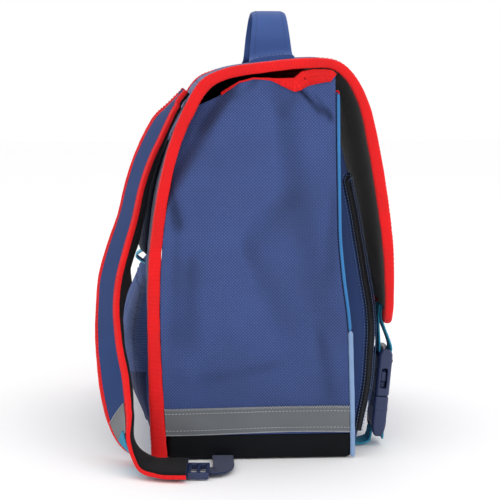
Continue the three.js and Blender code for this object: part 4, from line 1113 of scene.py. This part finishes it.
def pocket_grid():
    """The pocket's outer points, and the normals there."""
    v = np.linspace(0, 1, pocket_levels)[:, None]
    turn = plan_curve.at(np.linspace(0, 1, pocket_steps))
    across, deep = np.vstack([turn * (-1, 1), turn[-2::-1]]).T[:, None]
    z = pocket_bottom + (pocket_top - pocket_bottom) * v + 0 * across
    x = across * pocket_half + 0 * v
    bulge = pocket_profile(v) * pocket_depth
    seat = front_surface(x, z) - clearance - 0.3
    sag = 0.8 * soft_noise(x / 33, z / 39, 2.2) * smooth(deep / 0.6)
    y = seat - deep * bulge - sag * smooth(bulge / 12)
    grid = np.stack([x, y, z], -1)
    tangent = np.gradient(grid, axis=1)
    normal = unit(np.stack([tangent[..., 1], -tangent[..., 0], np.zeros_like(x)], -1))
    inward = np.where(normal[..., 1:2] > 0, -1.0, 1.0)
    normal = normal * np.where(np.abs(normal[..., 1:2]) > 1e-3, inward, 1.0)
    edge = (np.abs(across) > 0.9999) & (np.abs(normal[..., 1]) < 0.4)
    sideways = np.stack([np.sign(x), 0 * x, 0 * x], -1)
    return grid, unit(np.where(edge[..., None], sideways, normal))


pocket_outer, pocket_normal = pocket_grid()
bulge_share = pocket_profile(np.linspace(0, 1, pocket_levels))[:, None]
inner_lift = -np.minimum(cloth_thickness, 0.6 + 2.5 * bulge_share)
pocket_inner = pocket_outer + pocket_normal * inner_lift[..., None]
pocket = sheet_piece("pocket_cloth", pocket_outer, pocket_inner, cloth["pocket"])
stands(pocket, ["front_pocket"])


def pocket_place(v, t, lift):
    """Points over the pocket and their normals, from shares of its height and of its outline."""
    rows, columns = pocket_outer.shape[:2]
    row = np.clip(v, 0, 1) * (rows - 1)
    column = np.clip(t, 0, 1) * (columns - 1)
    r0, c0 = np.minimum(row.astype(int), rows - 2), np.minimum(column.astype(int), columns - 2)
    fr, fc = (row - r0)[:, None], (column - c0)[:, None]

    def blend(grid):
        return ((grid[r0, c0] * (1 - fr) + grid[r0 + 1, c0] * fr) * (1 - fc)
                + (grid[r0, c0 + 1] * (1 - fr) + grid[r0 + 1, c0 + 1] * fr) * fc)

    normal = unit(blend(pocket_normal))
    return blend(pocket_outer) + normal * lift, normal


def zip_path():
    """The zip's route: up one side of the pocket, over its top and down the other side."""
    deep_line = plan_curve.at(np.linspace(0, 1, pocket_steps))
    level = int(np.argmin(np.abs(deep_line[:, 1] - 0.74)))
    side_t = level / (2 * (pocket_steps - 1))
    foot, head, corner, top_t = 0.05, 0.89, 0.11, 0.2
    turn = np.linspace(0, math.pi / 2, 24)[1:]
    v = np.concatenate([np.linspace(foot, head - corner, 110), head - corner + corner * np.sin(turn),
                        np.full(59, head)])
    t = np.concatenate([np.full(110, side_t), side_t + (top_t - side_t) * (1 - np.cos(turn)),
                        np.linspace(top_t, 0.5, 60)[1:]])
    return np.concatenate([v, v[-2::-1]]), np.concatenate([t, 1 - t[-2::-1]])


def ribbon_section(width, thickness, edge=1.0):
    """A flat strip with rounded edges, a little thicker there where edge is over 1."""
    angles = np.linspace(-math.pi / 2, math.pi / 2, 5)
    radius = thickness / 2 * edge
    right = [(width / 2 - radius + radius * math.cos(a), radius * math.sin(a)) for a in angles]
    left = [(-x, -y) for x, y in right]
    flat = np.linspace(width / 2 - radius * 2, -width / 2 + radius * 2, 7)
    return np.array(right + [(x, thickness / 2) for x in flat] + left + [(-x, -thickness / 2) for x in flat])


def smooth_line(points, steps):
    """Corners cut off twice, then evenly spaced points."""
    line = np.array(points, float)
    for _ in range(2):
        first, second = line[:-1], line[1:]
        cut = np.stack([first * 0.75 + second * 0.25, first * 0.25 + second * 0.75], 1)
        line = np.vstack([line[:1], cut.reshape(-1, line.shape[1]), line[-1:]])
    reach = reach_of(line)
    return along_line(line, reach, np.linspace(0, reach[-1], max(4, int(reach[-1] / steps))))


def beads(name, line, normals, material, pitch, long, width, height):
    """Short rods laid across a line, such as a zip's coil."""
    reach = reach_of(line)
    at = np.arange(pitch, reach[-1] - pitch, pitch)
    centre = along_line(line, reach, at)
    normal = unit(along_line(normals, reach, at))
    along = unit(np.gradient(centre, axis=0))
    side = unit(np.cross(along, normal))
    shares = np.array([-1, -0.8, 0, 0.8, 1])
    sizes = np.array([0.3, 0.9, 1, 0.9, 0.3])
    centres = centre[:, None] + side[:, None] * (shares * long / 2)[:, None]
    return small_tubes(name, centres, along[:, None], normal[:, None], sizes, width, height, 6, material)


def pocket_track(lift):
    """The zip's route over the pocket, with the normals and sideways directions along it."""
    place, normal = pocket_place(*zip_path(), lift)
    return place, normal, unit(np.cross(np.gradient(place, axis=0), normal))


def make_zip():
    place, normal, across = pocket_track(clearance + zipper_thickness / 2)
    section = ribbon_section(9.0, zipper_thickness)
    tape = sweep_piece("zip_tapes", place, across, normal, section, cloth["zip"])
    coil_line = place + normal * (zipper_thickness / 2 + 0.35)
    coil = beads("zip_coils", coil_line, normal, cloth["zip_coil"], 1.25, 3.4, 0.85, 1.1)
    seam, seam_normal, seam_across = pocket_track(0.25)
    threads = []
    for side, name in sides:
        line = place + across * (side * 3.6) + normal * (zipper_thickness / 2 + 0.05)
        seam_line = seam + seam_across * (side * 6.2)
        for at, lean, gap in ((line, normal, 1.0), (seam_line, seam_normal, 1.2)):
            threads.append(stitches("zip_stitch", at, lean, cloth["thread_blue"], 2.0, gap, width=0.5))
    return tape, coil, join_pieces("zip_stitches", threads)


zip_tape, zip_coil, zip_threads = make_zip()
stands(zip_tape, ["pocket_zipper_left", "pocket_zipper_right", "pocket_zipper_top"])
stands(zip_coil, [])
stands(zip_threads, [])

# Front closures
buckle_standoff = buckle_drift - spine_rows[-1, 0] * bag_depth
tilt = math.radians(buckle_tilt)


def buckle_local(y, z):
    return (-buckle_standoff + y * math.cos(tilt) - z * math.sin(tilt),
            buckle_top + y * math.sin(tilt) + z * math.cos(tilt))


wrap_face = bar_thickness / 2 + clearance + webbing_thickness / 2
wrap_end = buckle_bar + clearance + webbing_thickness / 2


def ribbon_in_x(name, points, x, width, thickness, material, steps=1.5):
    line = smooth_line([(x, y, z) for y, z in points], steps)
    along = unit(np.gradient(line, axis=0))
    right = np.tile([1.0, 0, 0], (len(line), 1))
    up = unit(np.cross(along, right))
    return sweep_piece(name, line, right, up, ribbon_section(width, thickness, 1.15), material)


def make_flap_webbing(side, name):
    x = side * buckle_spacing / 2
    seam = spine_length - tape_lip - 4
    tape = spine_tape(np.array(seam))

    def inner(s, lift):
        return spine_point(s, x, -tape / 2 - lift - webbing_thickness / 2)

    first = inner(seam, 2 * clearance)
    second = inner(seam, 3 * clearance + webbing_thickness)
    hem = inner(spine_length, 3 * clearance)
    points = [
        (first[1], first[2]), (hem[1], hem[2]),
        buckle_local(-wrap_face, 3), buckle_local(-wrap_face, -wrap_end + 1.2),
        buckle_local(-wrap_face + 1.2, -wrap_end), buckle_local(wrap_face - 1.2, -wrap_end),
        buckle_local(wrap_face, -wrap_end + 1.2), buckle_local(wrap_face, 3),
        (hem[1] + webbing_thickness + clearance * 2, hem[2]), (second[1], second[2]),
    ]
    return ribbon_in_x(f"flap_strap_{name}", points, x, webbing_width, webbing_thickness, cloth["webbing"])


def make_front_webbing(side, name):
    low = webbing_thickness / 2 + 2 * clearance
    foot_y = corner_line(0) + 0.6 - clearance - webbing_thickness / 2
    end = -buckle_length + wrap_end
    points = [
        buckle_local(-wrap_face, -buckle_length - 3.5), buckle_local(-wrap_face, end - 1.2),
        buckle_local(-wrap_face + 1.2, end), buckle_local(wrap_face - 1.2, end),
        buckle_local(wrap_face, end - 1.2),
        buckle_local(wrap_face, -buckle_length - 3), buckle_local(wrap_face + 2, -buckle_length - 6),
        (-buckle_standoff + webbing_slack * 0.6, low + 4), (-buckle_standoff + webbing_slack, low),
        (foot_y - 5, low), (foot_y, low + 3), (foot_y, base_height * 0.7),
    ]
    x = side * buckle_spacing / 2
    return ribbon_in_x(f"front_strap_{name}", points, x, webbing_width, webbing_thickness, cloth["webbing"])


def moulded(name, node, material, voxel, ribs=(), rounds=14):
    """A moulded piece from a CAD solid, with softened edges and raised ribs given as centre and size."""
    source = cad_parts[node]
    mesh = source.data.copy()
    mesh.name = name
    mesh.transform(source.matrix_world)
    bm = bmesh.new()
    bm.from_mesh(mesh)
    for centre, size in ribs:
        placed = bmesh.ops.create_cube(bm, size=1)["verts"]
        for vertex in placed:
            y, z = buckle_local(centre[1] + vertex.co.y * size[1], centre[2] + vertex.co.z * size[2])
            vertex.co = Vector((centre[0] + vertex.co.x * size[0], y, z)) * MM
    bm.to_mesh(mesh)
    bm.free()
    piece = bpy.data.objects.new(name, mesh)
    bpy.context.collection.objects.link(piece)
    mesh.materials.clear()
    remesh = piece.modifiers.new("voxels", "REMESH")
    remesh.mode = "VOXEL"
    remesh.voxel_size = voxel * MM
    soften = piece.modifiers.new("soften", "SMOOTH")
    soften.iterations = rounds
    soften.factor = 0.5
    thin = piece.modifiers.new("thin", "DECIMATE")
    thin.decimate_type = "COLLAPSE"
    thin.ratio = 0.45
    solid = bpy.data.meshes.new_from_object(piece.evaluated_get(bpy.context.evaluated_depsgraph_get()))
    piece.modifiers.clear()
    piece.data = solid
    solid.name = name
    solid.materials.clear()
    solid.materials.append(material)
    solid.shade_smooth()
    return piece


def round_off(piece, x, radius):
    """Draw a buckle piece's thickness in towards the buckle's ends and sides."""
    side_radius = 4
    points = points_of(piece.data)
    dy, dz = points[:, 1] + buckle_standoff, points[:, 2] - buckle_top
    y = dy * math.cos(tilt) + dz * math.sin(tilt)
    z = -dy * math.sin(tilt) + dz * math.cos(tilt)
    end = np.clip(np.maximum(z + radius, -buckle_length + radius - z) / radius, 0, 1)
    edge = np.clip((np.abs(points[:, 0] - x) - buckle_width / 2 + side_radius) / side_radius, 0, 1)
    y = y * np.sqrt(1 - 0.8 * end**2) * np.sqrt(1 - 0.5 * edge**2)
    points[:, 1], points[:, 2] = buckle_local(y, z)
    set_points(piece.data, points)


upper_length = buckle_length * 0.53
buckle_voxel = 0.62
for side, name in sides:
    x = side * buckle_spacing / 2
    stands(make_flap_webbing(side, name), [f"flap_webbing_{name}"])
    stands(make_front_webbing(side, name), [f"front_webbing_{name}"])
    face = -buckle_depth / 2
    ridges = [((x, face - 0.3, -upper_length + 3 + 2.6 * i), (buckle_width - 12, 1.6, 1.1)) for i in range(3)]
    ridges += [((x, face - 0.3, -11), (buckle_width - 4, 1.4, 1.4))]
    upper = moulded(f"buckle_socket_{name}", f"buckle_upper_{name}", cloth["plastic"],
                    buckle_voxel, ridges, 24)
    round_off(upper, x, 7)
    stands(upper, [f"buckle_upper_{name}"])
    low = -upper_length - 14
    ridges = [((x, face - 0.3, low - 2.8 * i), (buckle_width - 12, 1.5, 1.1)) for i in range(3)]
    ridges += [((x, 0, low + 1), (buckle_width - 0.6, buckle_depth + 0.8, 1.0))]
    lower = moulded(f"buckle_plug_{name}", f"buckle_lower_{name}", cloth["plastic"], buckle_voxel, ridges, 40)
    round_off(lower, x, 13)
    stands(lower, [f"buckle_lower_{name}"])

# Handle
fine_top = np.linspace(0, spine_length, 2400)
top_line = spine_point(fine_top, 0)
on_lid = top_line[:, 2] > bag_height * 0.9
lid_rows = np.column_stack([top_line[on_lid, 1], fine_top[on_lid]])


def s_at_top(y):
    near = np.where(on_lid, np.abs(top_line[:, 1] - y), 1e9)
    return fine_top[int(np.argmin(near))]


def handle_seat(x):
    reach = (handle_width + handle_flare) / 2
    rows = [s_at_top(handle_centre + y) for y in (-reach, 0, reach)]
    return max(spine_point(s, x, spine_sheet(s) / 2)[2] for s in rows)


def pad_section(width, thickness, swell, rim):
    """A padded strip's section: flat sides that ease into thinner rounded edges."""
    x = np.linspace(-1, 1, 19)
    y = rim + (1 - rim) * (1 - np.abs(x) ** 6) ** 0.8
    top = np.column_stack([x * width / 2, y * thickness / 2 * swell])
    bottom = np.column_stack([x[::-1] * width / 2, -y[::-1] * thickness / 2])
    return np.vstack([top, bottom])


def settle(piece, seat):
    """The handle's foot and tabs drop onto the lid's own curve."""
    points = points_of(piece.data)
    s = table(lid_rows, 0, points[:, 1], 1)
    lid = spine_point(s, points[:, 0], spine_sheet(s) / 2)[:, 2]
    weight = smooth(1 - (points[:, 2] - seat - handle_thickness) / 22)
    drop = handle_seat_rows(points[:, 0]) - lid
    points[:, 2] -= weight * np.clip(drop - 0.3, 0, 6)
    set_points(piece.data, points)


def handle_seat_rows(x):
    places = np.linspace(0, handle_span / 2 + handle_tab, 12)
    return np.interp(np.abs(x), places, [handle_seat(p) for p in places])


def make_handle():
    lift = handle_thickness / 2
    foot = handle_span / 2
    seat = handle_seat(foot)
    points = [
        (-foot - handle_tab, handle_seat(foot + handle_tab) + lift),
        (-foot - handle_tab * 0.36, handle_seat(foot + handle_tab * 0.36) + lift * 1.16),
        (-foot, seat + lift + handle_rise * 0.09), (-foot * 0.92, seat + handle_rise * 0.5),
        (-foot * 0.73, seat + handle_rise * 0.86), (-foot * 0.42, seat + handle_rise),
    ]
    points += [(-x, z) for x, z in reversed(points)]
    curve = Curve([(x, handle_centre, z) for x, z in points])
    share = np.linspace(0, 1, 150)
    places = curve.place(share)
    along = curve.direction(share)
    right = np.tile([0.0, 1, 0], (len(share), 1))
    up = unit(np.cross(along, right))
    flare = 1 + handle_flare / handle_width * np.clip((seat + handle_rise - places[:, 2]) / handle_rise, 0, 1)
    widen = np.stack([flare, np.ones_like(flare)], 1)[:, None]
    sections = pad_section(handle_width, handle_thickness, 1.25, 0.35) * widen
    body = sweep_piece("handle_band", places, right, up, sections, cloth["handle"])
    threads = []
    reach = handle_width / 2 - 4
    for edge in (-1, 1):
        for face in (1, -1):
            line = places + right * (edge * reach * flare)[:, None] + up * (face * (lift * 1.1 + 0.05))
            threads.append(stitches("handle_stitch", line, up * face, cloth["thread_navy"],
                                    length=2.6, gap=1.0, height=0.16))
    near, far = foot + handle_tab * 0.25, foot + handle_tab * 0.8
    for x in (-far, -near, near, far):
        row = int(np.argmin(np.abs(places[:, 0] - x)))
        line = places[row] + right[row] * np.linspace(-reach, reach, 12)[:, None]
        line += up[row] * (lift * 1.15 + 0.1)
        threads.append(stitches("handle_tack", line, np.tile(up[row], (12, 1)), cloth["thread_navy"],
                                length=2.6, gap=0.8))
    threads = join_pieces("handle_stitches", threads)
    settle(body, seat)
    settle(threads, seat)
    return body, threads


handle, handle_threads = make_handle()
stands(handle, ["handle"])
stands(handle_threads, [])


# Back padding
pad_rows, pad_columns = 110, 70


def pad_ring(grid):
    """The values of a pad's grid along the seam near its edge."""
    return np.concatenate([grid[6, 3:-3], grid[6:-6, -4], grid[-7, -4:2:-1], grid[-7:5:-1, 3]])


def make_pad(name, span, width, depth, profile, material, grooves, seam, foot=None):
    share = np.linspace(0, 1, pad_rows)[:, None]
    across = np.linspace(-1, 1, pad_columns)[None, :]
    s = (span[0] + (span[1] - span[0]) * share) * bag_height + 0 * across
    count = len(profile) - 1
    thick = np.interp(share * count, np.arange(count + 1), smooth_columns(profile[:, 0]))
    wide = np.interp(share * count, np.arange(count + 1), smooth_columns(profile[:, 1]))
    x = across * width / 2 * wide
    seat = spine_sheet(s) / 2 + pad_seat
    fall = 1 - np.abs(across) ** 4 * 0.62
    edge = np.minimum(1 - np.abs(across), 2 * np.minimum(share, 1 - share))
    rounding = smooth(edge / 0.06) ** 0.5
    height = np.maximum(2, depth * thick * fall) * (0.35 + 0.65 * rounding)
    for centre, size, sharp in grooves:
        height = height - size * np.exp(-((across - centre) / sharp) ** 2) * smooth(edge / 0.1)
    height = height + 0.6 * soft_noise(x / 21, s / 19, 3.0) * smooth(edge / 0.15)
    height = height - seam * np.exp(-((edge - 0.07) / 0.018) ** 2)
    # The mesh's lower edge: a seam that drops towards the middle, over plain cloth in a darker navy that
    # paints the shade there.
    border = (mesh_from + 0.035 * across**2) * bag_height
    if foot is not None:
        height = height - 1.6 * np.exp(-((s - border) / 2.2) ** 2)
    outer = spine_point(s, x, seat + np.maximum(height, 1.2))
    inner = spine_point(s, x, seat)
    piece = sheet_piece(name, outer, inner, material)
    if foot is not None:
        piece.data.materials.append(foot)
        set_second_material(piece.data, (s < border)[:-1, :-1].ravel())
    normals = grid_normals(outer)
    normals *= np.sign(normals[..., 1:2])
    lean = pad_ring(normals)
    line = pad_ring(outer) + lean * 0.1
    threads = stitches(f"{name}_stitches", line, lean, cloth["thread_navy"], length=2.8, gap=1.2)
    return piece, threads


def smooth_columns(values):
    kernel = np.array([0.12, 0.76, 0.12])
    return np.convolve(np.pad(values, 1, mode="edge"), kernel, mode="valid")


# The upper cushion's darker mesh paints the shade it lies in.
pad, threads = make_pad(
    "back_pad_upper_cover", upper_pad_span, upper_pad_width, upper_pad_depth, upper_pad_rows,
    cloth["mesh_painted_shade"], [(-0.34, 2.4, 0.05), (0.34, 2.4, 0.05)], 1.0,
)
stands(pad, ["back_pad_upper"])
stands(threads, [])
# The lower cushion's foot below its mesh takes the darker cloth that paints its shade.
pad, threads = make_pad(
    "back_pad_lower_cover", lower_pad_span, lower_pad_width, lower_pad_depth, lower_pad_rows,
    cloth["mesh"], [(-0.4, 3.0, 0.045), (0.4, 3.0, 0.045), (0, 4.0, 0.06)], 1.2, cloth["panel_painted_shade"],
)
stands(pad, ["back_pad_lower"])
stands(threads, [])


def make_back_loop():
    low, high = lower_pad_span[1] * bag_height, upper_pad_span[0] * bag_height
    rises = ((low + 3, 0), (low + 6, 0.5), ((low + high) / 2, 1), (high - 6, 0.5), (high - 3, 0))
    seat = clearance + webbing_thickness / 2
    points = [spine_point(s, 0.0, spine_sheet(s) / 2 + seat + back_loop_rise * rise)[1:] for s, rise in rises]
    return ribbon_in_x("back_loop_strap", points, 0.0, webbing_width * 0.8, webbing_thickness,
                       cloth["webbing_pale"], steps=0.8)


stands(make_back_loop(), ["back_loop"])


# Shoulder straps
def strap_curve(side):
    x = side * (strap_rows[:, 0] * half + strap_rows[:, 1] * strap_splay)
    y = strap_rows[:, 2] * bag_depth + strap_rows[:, 3] * strap_reach
    return Curve(np.column_stack([x, y, strap_rows[:, 4] * bag_height]))


def strap_frames(side, share):
    curve = strap_curve(side)
    place = curve.place(share)
    along = curve.direction(share)
    turn = np.radians(along_rows(strap_rows, curve.row(share), 5))
    turn = np.convolve(np.pad(turn, 5, mode="edge"), np.ones(11) / 11, mode="valid")
    right = np.stack([np.cos(turn), -side * np.sin(turn), 0 * turn], 1)
    right = unit(right - along * np.sum(right * along, axis=1, keepdims=True))
    return place, right, unit(np.cross(right, along))


def strap_section(width, thickness):
    """Cloth over foam: nearly flat on top, with the mesh below bulging past the bound edges."""
    x = np.linspace(-1, 1, 25)
    y = 0.8 + 0.2 * (1 - x**2) ** 0.7
    top = np.column_stack([x * width / 2, y * thickness / 2 * 1.1])
    angles = np.linspace(0, math.pi, 25)
    below_x = np.sign(np.cos(angles)) * np.abs(np.cos(angles)) ** 0.35 * (width / 2 + 1.6)
    below_y = thickness * 0.12 - np.abs(np.sin(angles)) ** 0.45 * (thickness * 0.62)
    return np.vstack([top, np.column_stack([below_x, below_y])])


# How full the strap's mesh side is at heights in millimetres.
under_rows = np.array([
    (8, 1), (24, 1.1), (60, 1.5), (150, 1.7), (180, 2.5), (205, 2.9), (230, 2.7), (262, 2.0),
    (310, 1.2), (340, 1),
])
strap_stations = 240
strap_face = strap_thickness / 2 * 1.12


def make_strap(side, name):
    share = np.linspace(0, 1, strap_stations)
    place, right, up = strap_frames(side, share)
    section = strap_section(strap_width - 1, strap_thickness)
    sections = np.repeat(section[None], strap_stations, axis=0)
    sections[:, :, 1] += (0.25 * np.sin(share * 61 + 0.4) * np.sin(share * 23))[:, None]
    below = table(under_rows, 0, place[:, 2], 1)
    sections[:, :, 1] *= np.where(sections[:, :, 1] < 0, below[:, None], 1)
    body = sweep_piece(f"shoulder_strap_pad_{name}", place, right, up, sections, cloth["strap"])
    body.data.materials.append(cloth["strap_lining"])
    under = np.arange(len(section)) >= len(section) // 2 - 1
    set_second_material(body.data, np.tile(under, strap_stations - 1))
    tape_inside, tape_wall = strap_thickness * 0.17, tape_thickness * 0.75
    pieces = []
    threads = []
    for edge in (-1, 1):
        at = place + right * (edge * strap_width / 2) + up * (strap_thickness * 0.26)
        wobble = 1 + 0.05 * np.sin(share * 190 + edge) + 0.04 * np.sin(share * 57)
        tape = [tape_section(strap_tape, tape_inside * f, tape_wall, 1.3, sag=0.1) for f in wobble]
        pieces.append(sweep_piece(f"strap_tape_{edge}_{name}", at, right * -edge, up, tape, cloth["tape"]))
        line = at - right * (edge * (strap_tape - 1.5)) + up * (tape_inside + tape_wall + 0.2)
        threads.append(stitches("strap_stitch", line, up, cloth["thread_red"], length=2.8))
    return body, pieces, join_pieces(f"strap_stitches_{name}", threads)


reflector_from, reflector_to = 0.775, 0.838


def make_strap_webbing(side, name):
    """The webbing down the strap's face. Its first points climb onto the reflector."""
    share = np.linspace(reflector_to - 0.01, 1, 90)
    lift = np.full(90, strap_face + 1.0 + webbing_thickness / 2)
    lift[:6] += np.linspace(0.9, 0, 6)
    place, right, up = strap_frames(side, share)
    return sweep_piece(f"strap_webbing_{name}_strip", place + up * lift[:, None], right, up,
                       ribbon_section(webbing_width, webbing_thickness, 1.1), cloth["webbing"])


def make_strap_reflector(side, name):
    columns = np.linspace(-1, 1, 24)
    width = strap_width / 2 - strap_tape - clearance
    rows = []
    normals = []
    for w in np.linspace(0, 1, 30):
        first = reflector_from - 0.008 * side * columns
        share = first + (reflector_to - first) * w
        place, right, up = strap_frames(side, share)
        swell = strap_face * (0.78 + 0.22 * (1 - (columns * width / (strap_width / 2)) ** 2) ** 0.7)
        rows.append(place + right * (columns * width)[:, None] + up * swell[:, None])
        normals.append(up)
    grid, normals = np.array(rows), np.array(normals)
    outer = grid + normals * (0.6 + band_thickness)
    piece = sheet_piece(f"strap_reflector_{name}", outer, grid + normals * 0.5, cloth["reflective"])
    threads = [stitches("patch_stitch", outer[row] + normals[row] * 0.1, normals[row], cloth["thread_pale"],
                        length=2.0, width=0.45) for row in (1, -2)]
    return piece, join_pieces(f"strap_reflector_stitches_{name}", threads)


def lock_frame(side):
    place, right, up = strap_frames(side, np.array([0.999, 1.0]))
    along = unit(np.cross(up[1], right[1]))
    along = -along if along[1] > 0 else along
    start = place[1].copy()
    start[2] = lock_thickness / 2 + clearance * 2
    return start, along


def make_anchor(side, name):
    place, along = lock_frame(side)
    start = place + along * (lock_length + 2 * clearance)
    foot = np.array([side * (side_outside + clearance), start[1] - anchor_drift, start[2]])
    straight = start + along * anchor_width * 0.3
    turn = start + along * anchor_width * 0.6
    turn[0] -= side * anchor_width * 0.4
    curve = Curve([start, straight, turn, foot])
    share = np.linspace(0, 1, 50)
    places = curve.place(share)
    along = curve.direction(share)
    up = np.tile([0.0, 0, 1], (50, 1))
    right = unit(np.cross(along, up))
    section = ribbon_section(anchor_width, webbing_thickness, 1.1)
    # The anchor's dark webbing partly paints the shade by the floor.
    return sweep_piece(f"anchor_strap_{name}", places, right, up, section, cloth["navy_and_shade_webbing"])


for side, name in sides:
    body, tapes, threads = make_strap(side, name)
    stands(body, [f"shoulder_strap_{name}"])
    inner_first = tapes if side > 0 else tapes[::-1]
    stands(inner_first[0], [f"strap_binding_inner_{name}"])
    stands(inner_first[1], [f"strap_binding_outer_{name}"])
    stands(threads, [])
    patch, patch_threads = make_strap_reflector(side, name)
    stands(patch, [f"strap_reflector_{name}"])
    stands(patch_threads, [])
    stands(make_strap_webbing(side, name), [f"strap_webbing_{name}"])
    lock = moulded(f"ladder_lock_{name}_body", f"ladder_lock_{name}", cloth["plastic"], 0.5)
    stands(lock, [f"ladder_lock_{name}"])
    stands(make_anchor(side, name), [f"anchor_webbing_{name}"])

# The back pads' and shoulder straps' cloth is blown out from its seams by Blender's cloth solver.
puff_frames = 16
puff_limit = 2.5


def start_puff(piece, held, pressure):
    group = piece.vertex_groups.new(name="held")
    group.add([int(i) for i in np.flatnonzero(held)], 1.0, "REPLACE")
    modifier = piece.modifiers.new("puff", "CLOTH")
    settings = modifier.settings
    settings.quality = 4
    settings.mass = 0.25
    settings.tension_stiffness = settings.compression_stiffness = 12
    settings.shear_stiffness = 4
    settings.bending_stiffness = 0.4
    settings.vertex_group_mass = "held"
    settings.use_pressure = True
    settings.uniform_pressure_force = pressure
    settings.effector_weights.gravity = 0
    modifier.collision_settings.use_collision = False
    modifier.collision_settings.use_self_collision = False
    modifier.point_cache.frame_start = 1
    modifier.point_cache.frame_end = puff_frames


def end_puff(piece):
    """Keep the blown-out shape, with no point further than the limit from its start."""
    solved = piece.evaluated_get(bpy.context.evaluated_depsgraph_get())
    start, now = points_of(piece.data), points_of(solved.data)
    move = np.nan_to_num(now - start)
    far = np.linalg.norm(move, axis=1, keepdims=True)
    piece.modifiers.clear()
    piece.vertex_groups.clear()
    move = move / np.maximum(far, 1e-6) * puff_limit * np.tanh(far / puff_limit)
    set_points(piece.data, start + move)


def held_grid(rows, columns, rim):
    """A closed sheet's points that stay: all of its inner side, and the outer side's border."""
    free = np.zeros((rows, columns), bool)
    free[rim:-rim, rim:-rim] = True
    return np.concatenate([~free.ravel(), np.ones(rows * columns, bool)])


def held_strap(section, rows):
    """A strap's points that stay: its ends and all that its bound edges cover."""
    near_edge = np.abs(section[:, 0]) > strap_width / 2 - strap_tape + 0.5
    held = np.tile(near_edge, (rows, 1))
    held[:3] = held[-3:] = True
    return held.ravel()


by_name = {piece.name: piece for piece in made}
pad_held = held_grid(pad_rows, pad_columns, 8)
strap_held = held_strap(strap_section(strap_width - 1, strap_thickness), strap_stations)
puffed = {
    "back_pad_upper_cover": (pad_held, 4), "back_pad_lower_cover": (pad_held, 4),
    "shoulder_strap_pad_left": (strap_held, 2), "shoulder_strap_pad_right": (strap_held, 2),
}
for name, (held, pressure) in puffed.items():
    start_puff(by_name[name], held, pressure)
for frame_number in range(1, puff_frames + 1):
    bpy.context.scene.frame_set(frame_number)
for name in puffed:
    end_puff(by_name[name])
bpy.context.scene.frame_set(1)

# Stage
floor_mesh = bpy.data.meshes.new("floor")
floor_corners = [(x, y, -0.0006) for x, y in ((-6, -6), (6, -6), (6, 6), (-6, 6))]
floor_mesh.from_pydata(floor_corners, [], [(0, 1, 2, 3)])
floor = bpy.data.objects.new("floor", floor_mesh)
bpy.context.collection.objects.link(floor)
floor_mesh.materials.append(new_material("floor_paper", (0.985, 0.985, 0.985), 0.95)[0])

bpy.context.scene.view_settings.view_transform = "Standard"
world = bpy.data.worlds.new("studio")
bpy.context.scene.world = world
world.use_nodes = True
background = world.node_tree.nodes["Background"].inputs
background["Color"].default_value = (1, 1, 1, 1)
background["Strength"].default_value = 1.0


def aim(piece, place, target):
    piece.location = place
    piece.rotation_euler = (Vector(target) - Vector(place)).to_track_quat("-Z", "Y").to_euler()
    bpy.context.collection.objects.link(piece)


def area_light(name, place, target, size, power):
    light = bpy.data.lights.new(name, "AREA")
    light.shape = "SQUARE"
    light.size = size
    light.energy = power
    aim(bpy.data.objects.new(name, light), place, target)


area_light("key", (-1.2, -0.9, 1.5), (0, 0, 0.2), 1.0, 6)
area_light("top", (0.2, 0.1, 1.8), (0, 0, 0.2), 1.5, 4)

# Camera
camera_data = bpy.data.cameras.new("camera")
camera_data.lens = 95.7
camera_data.sensor_width = 36
camera = bpy.data.objects.new("camera", camera_data)
camera_place = (-1.3870, 0.0832, 0.3662)
camera_target = (-0.150, 0.0075, 0.203)
aim(camera, camera_place, camera_target)
bpy.context.scene.camera = camera
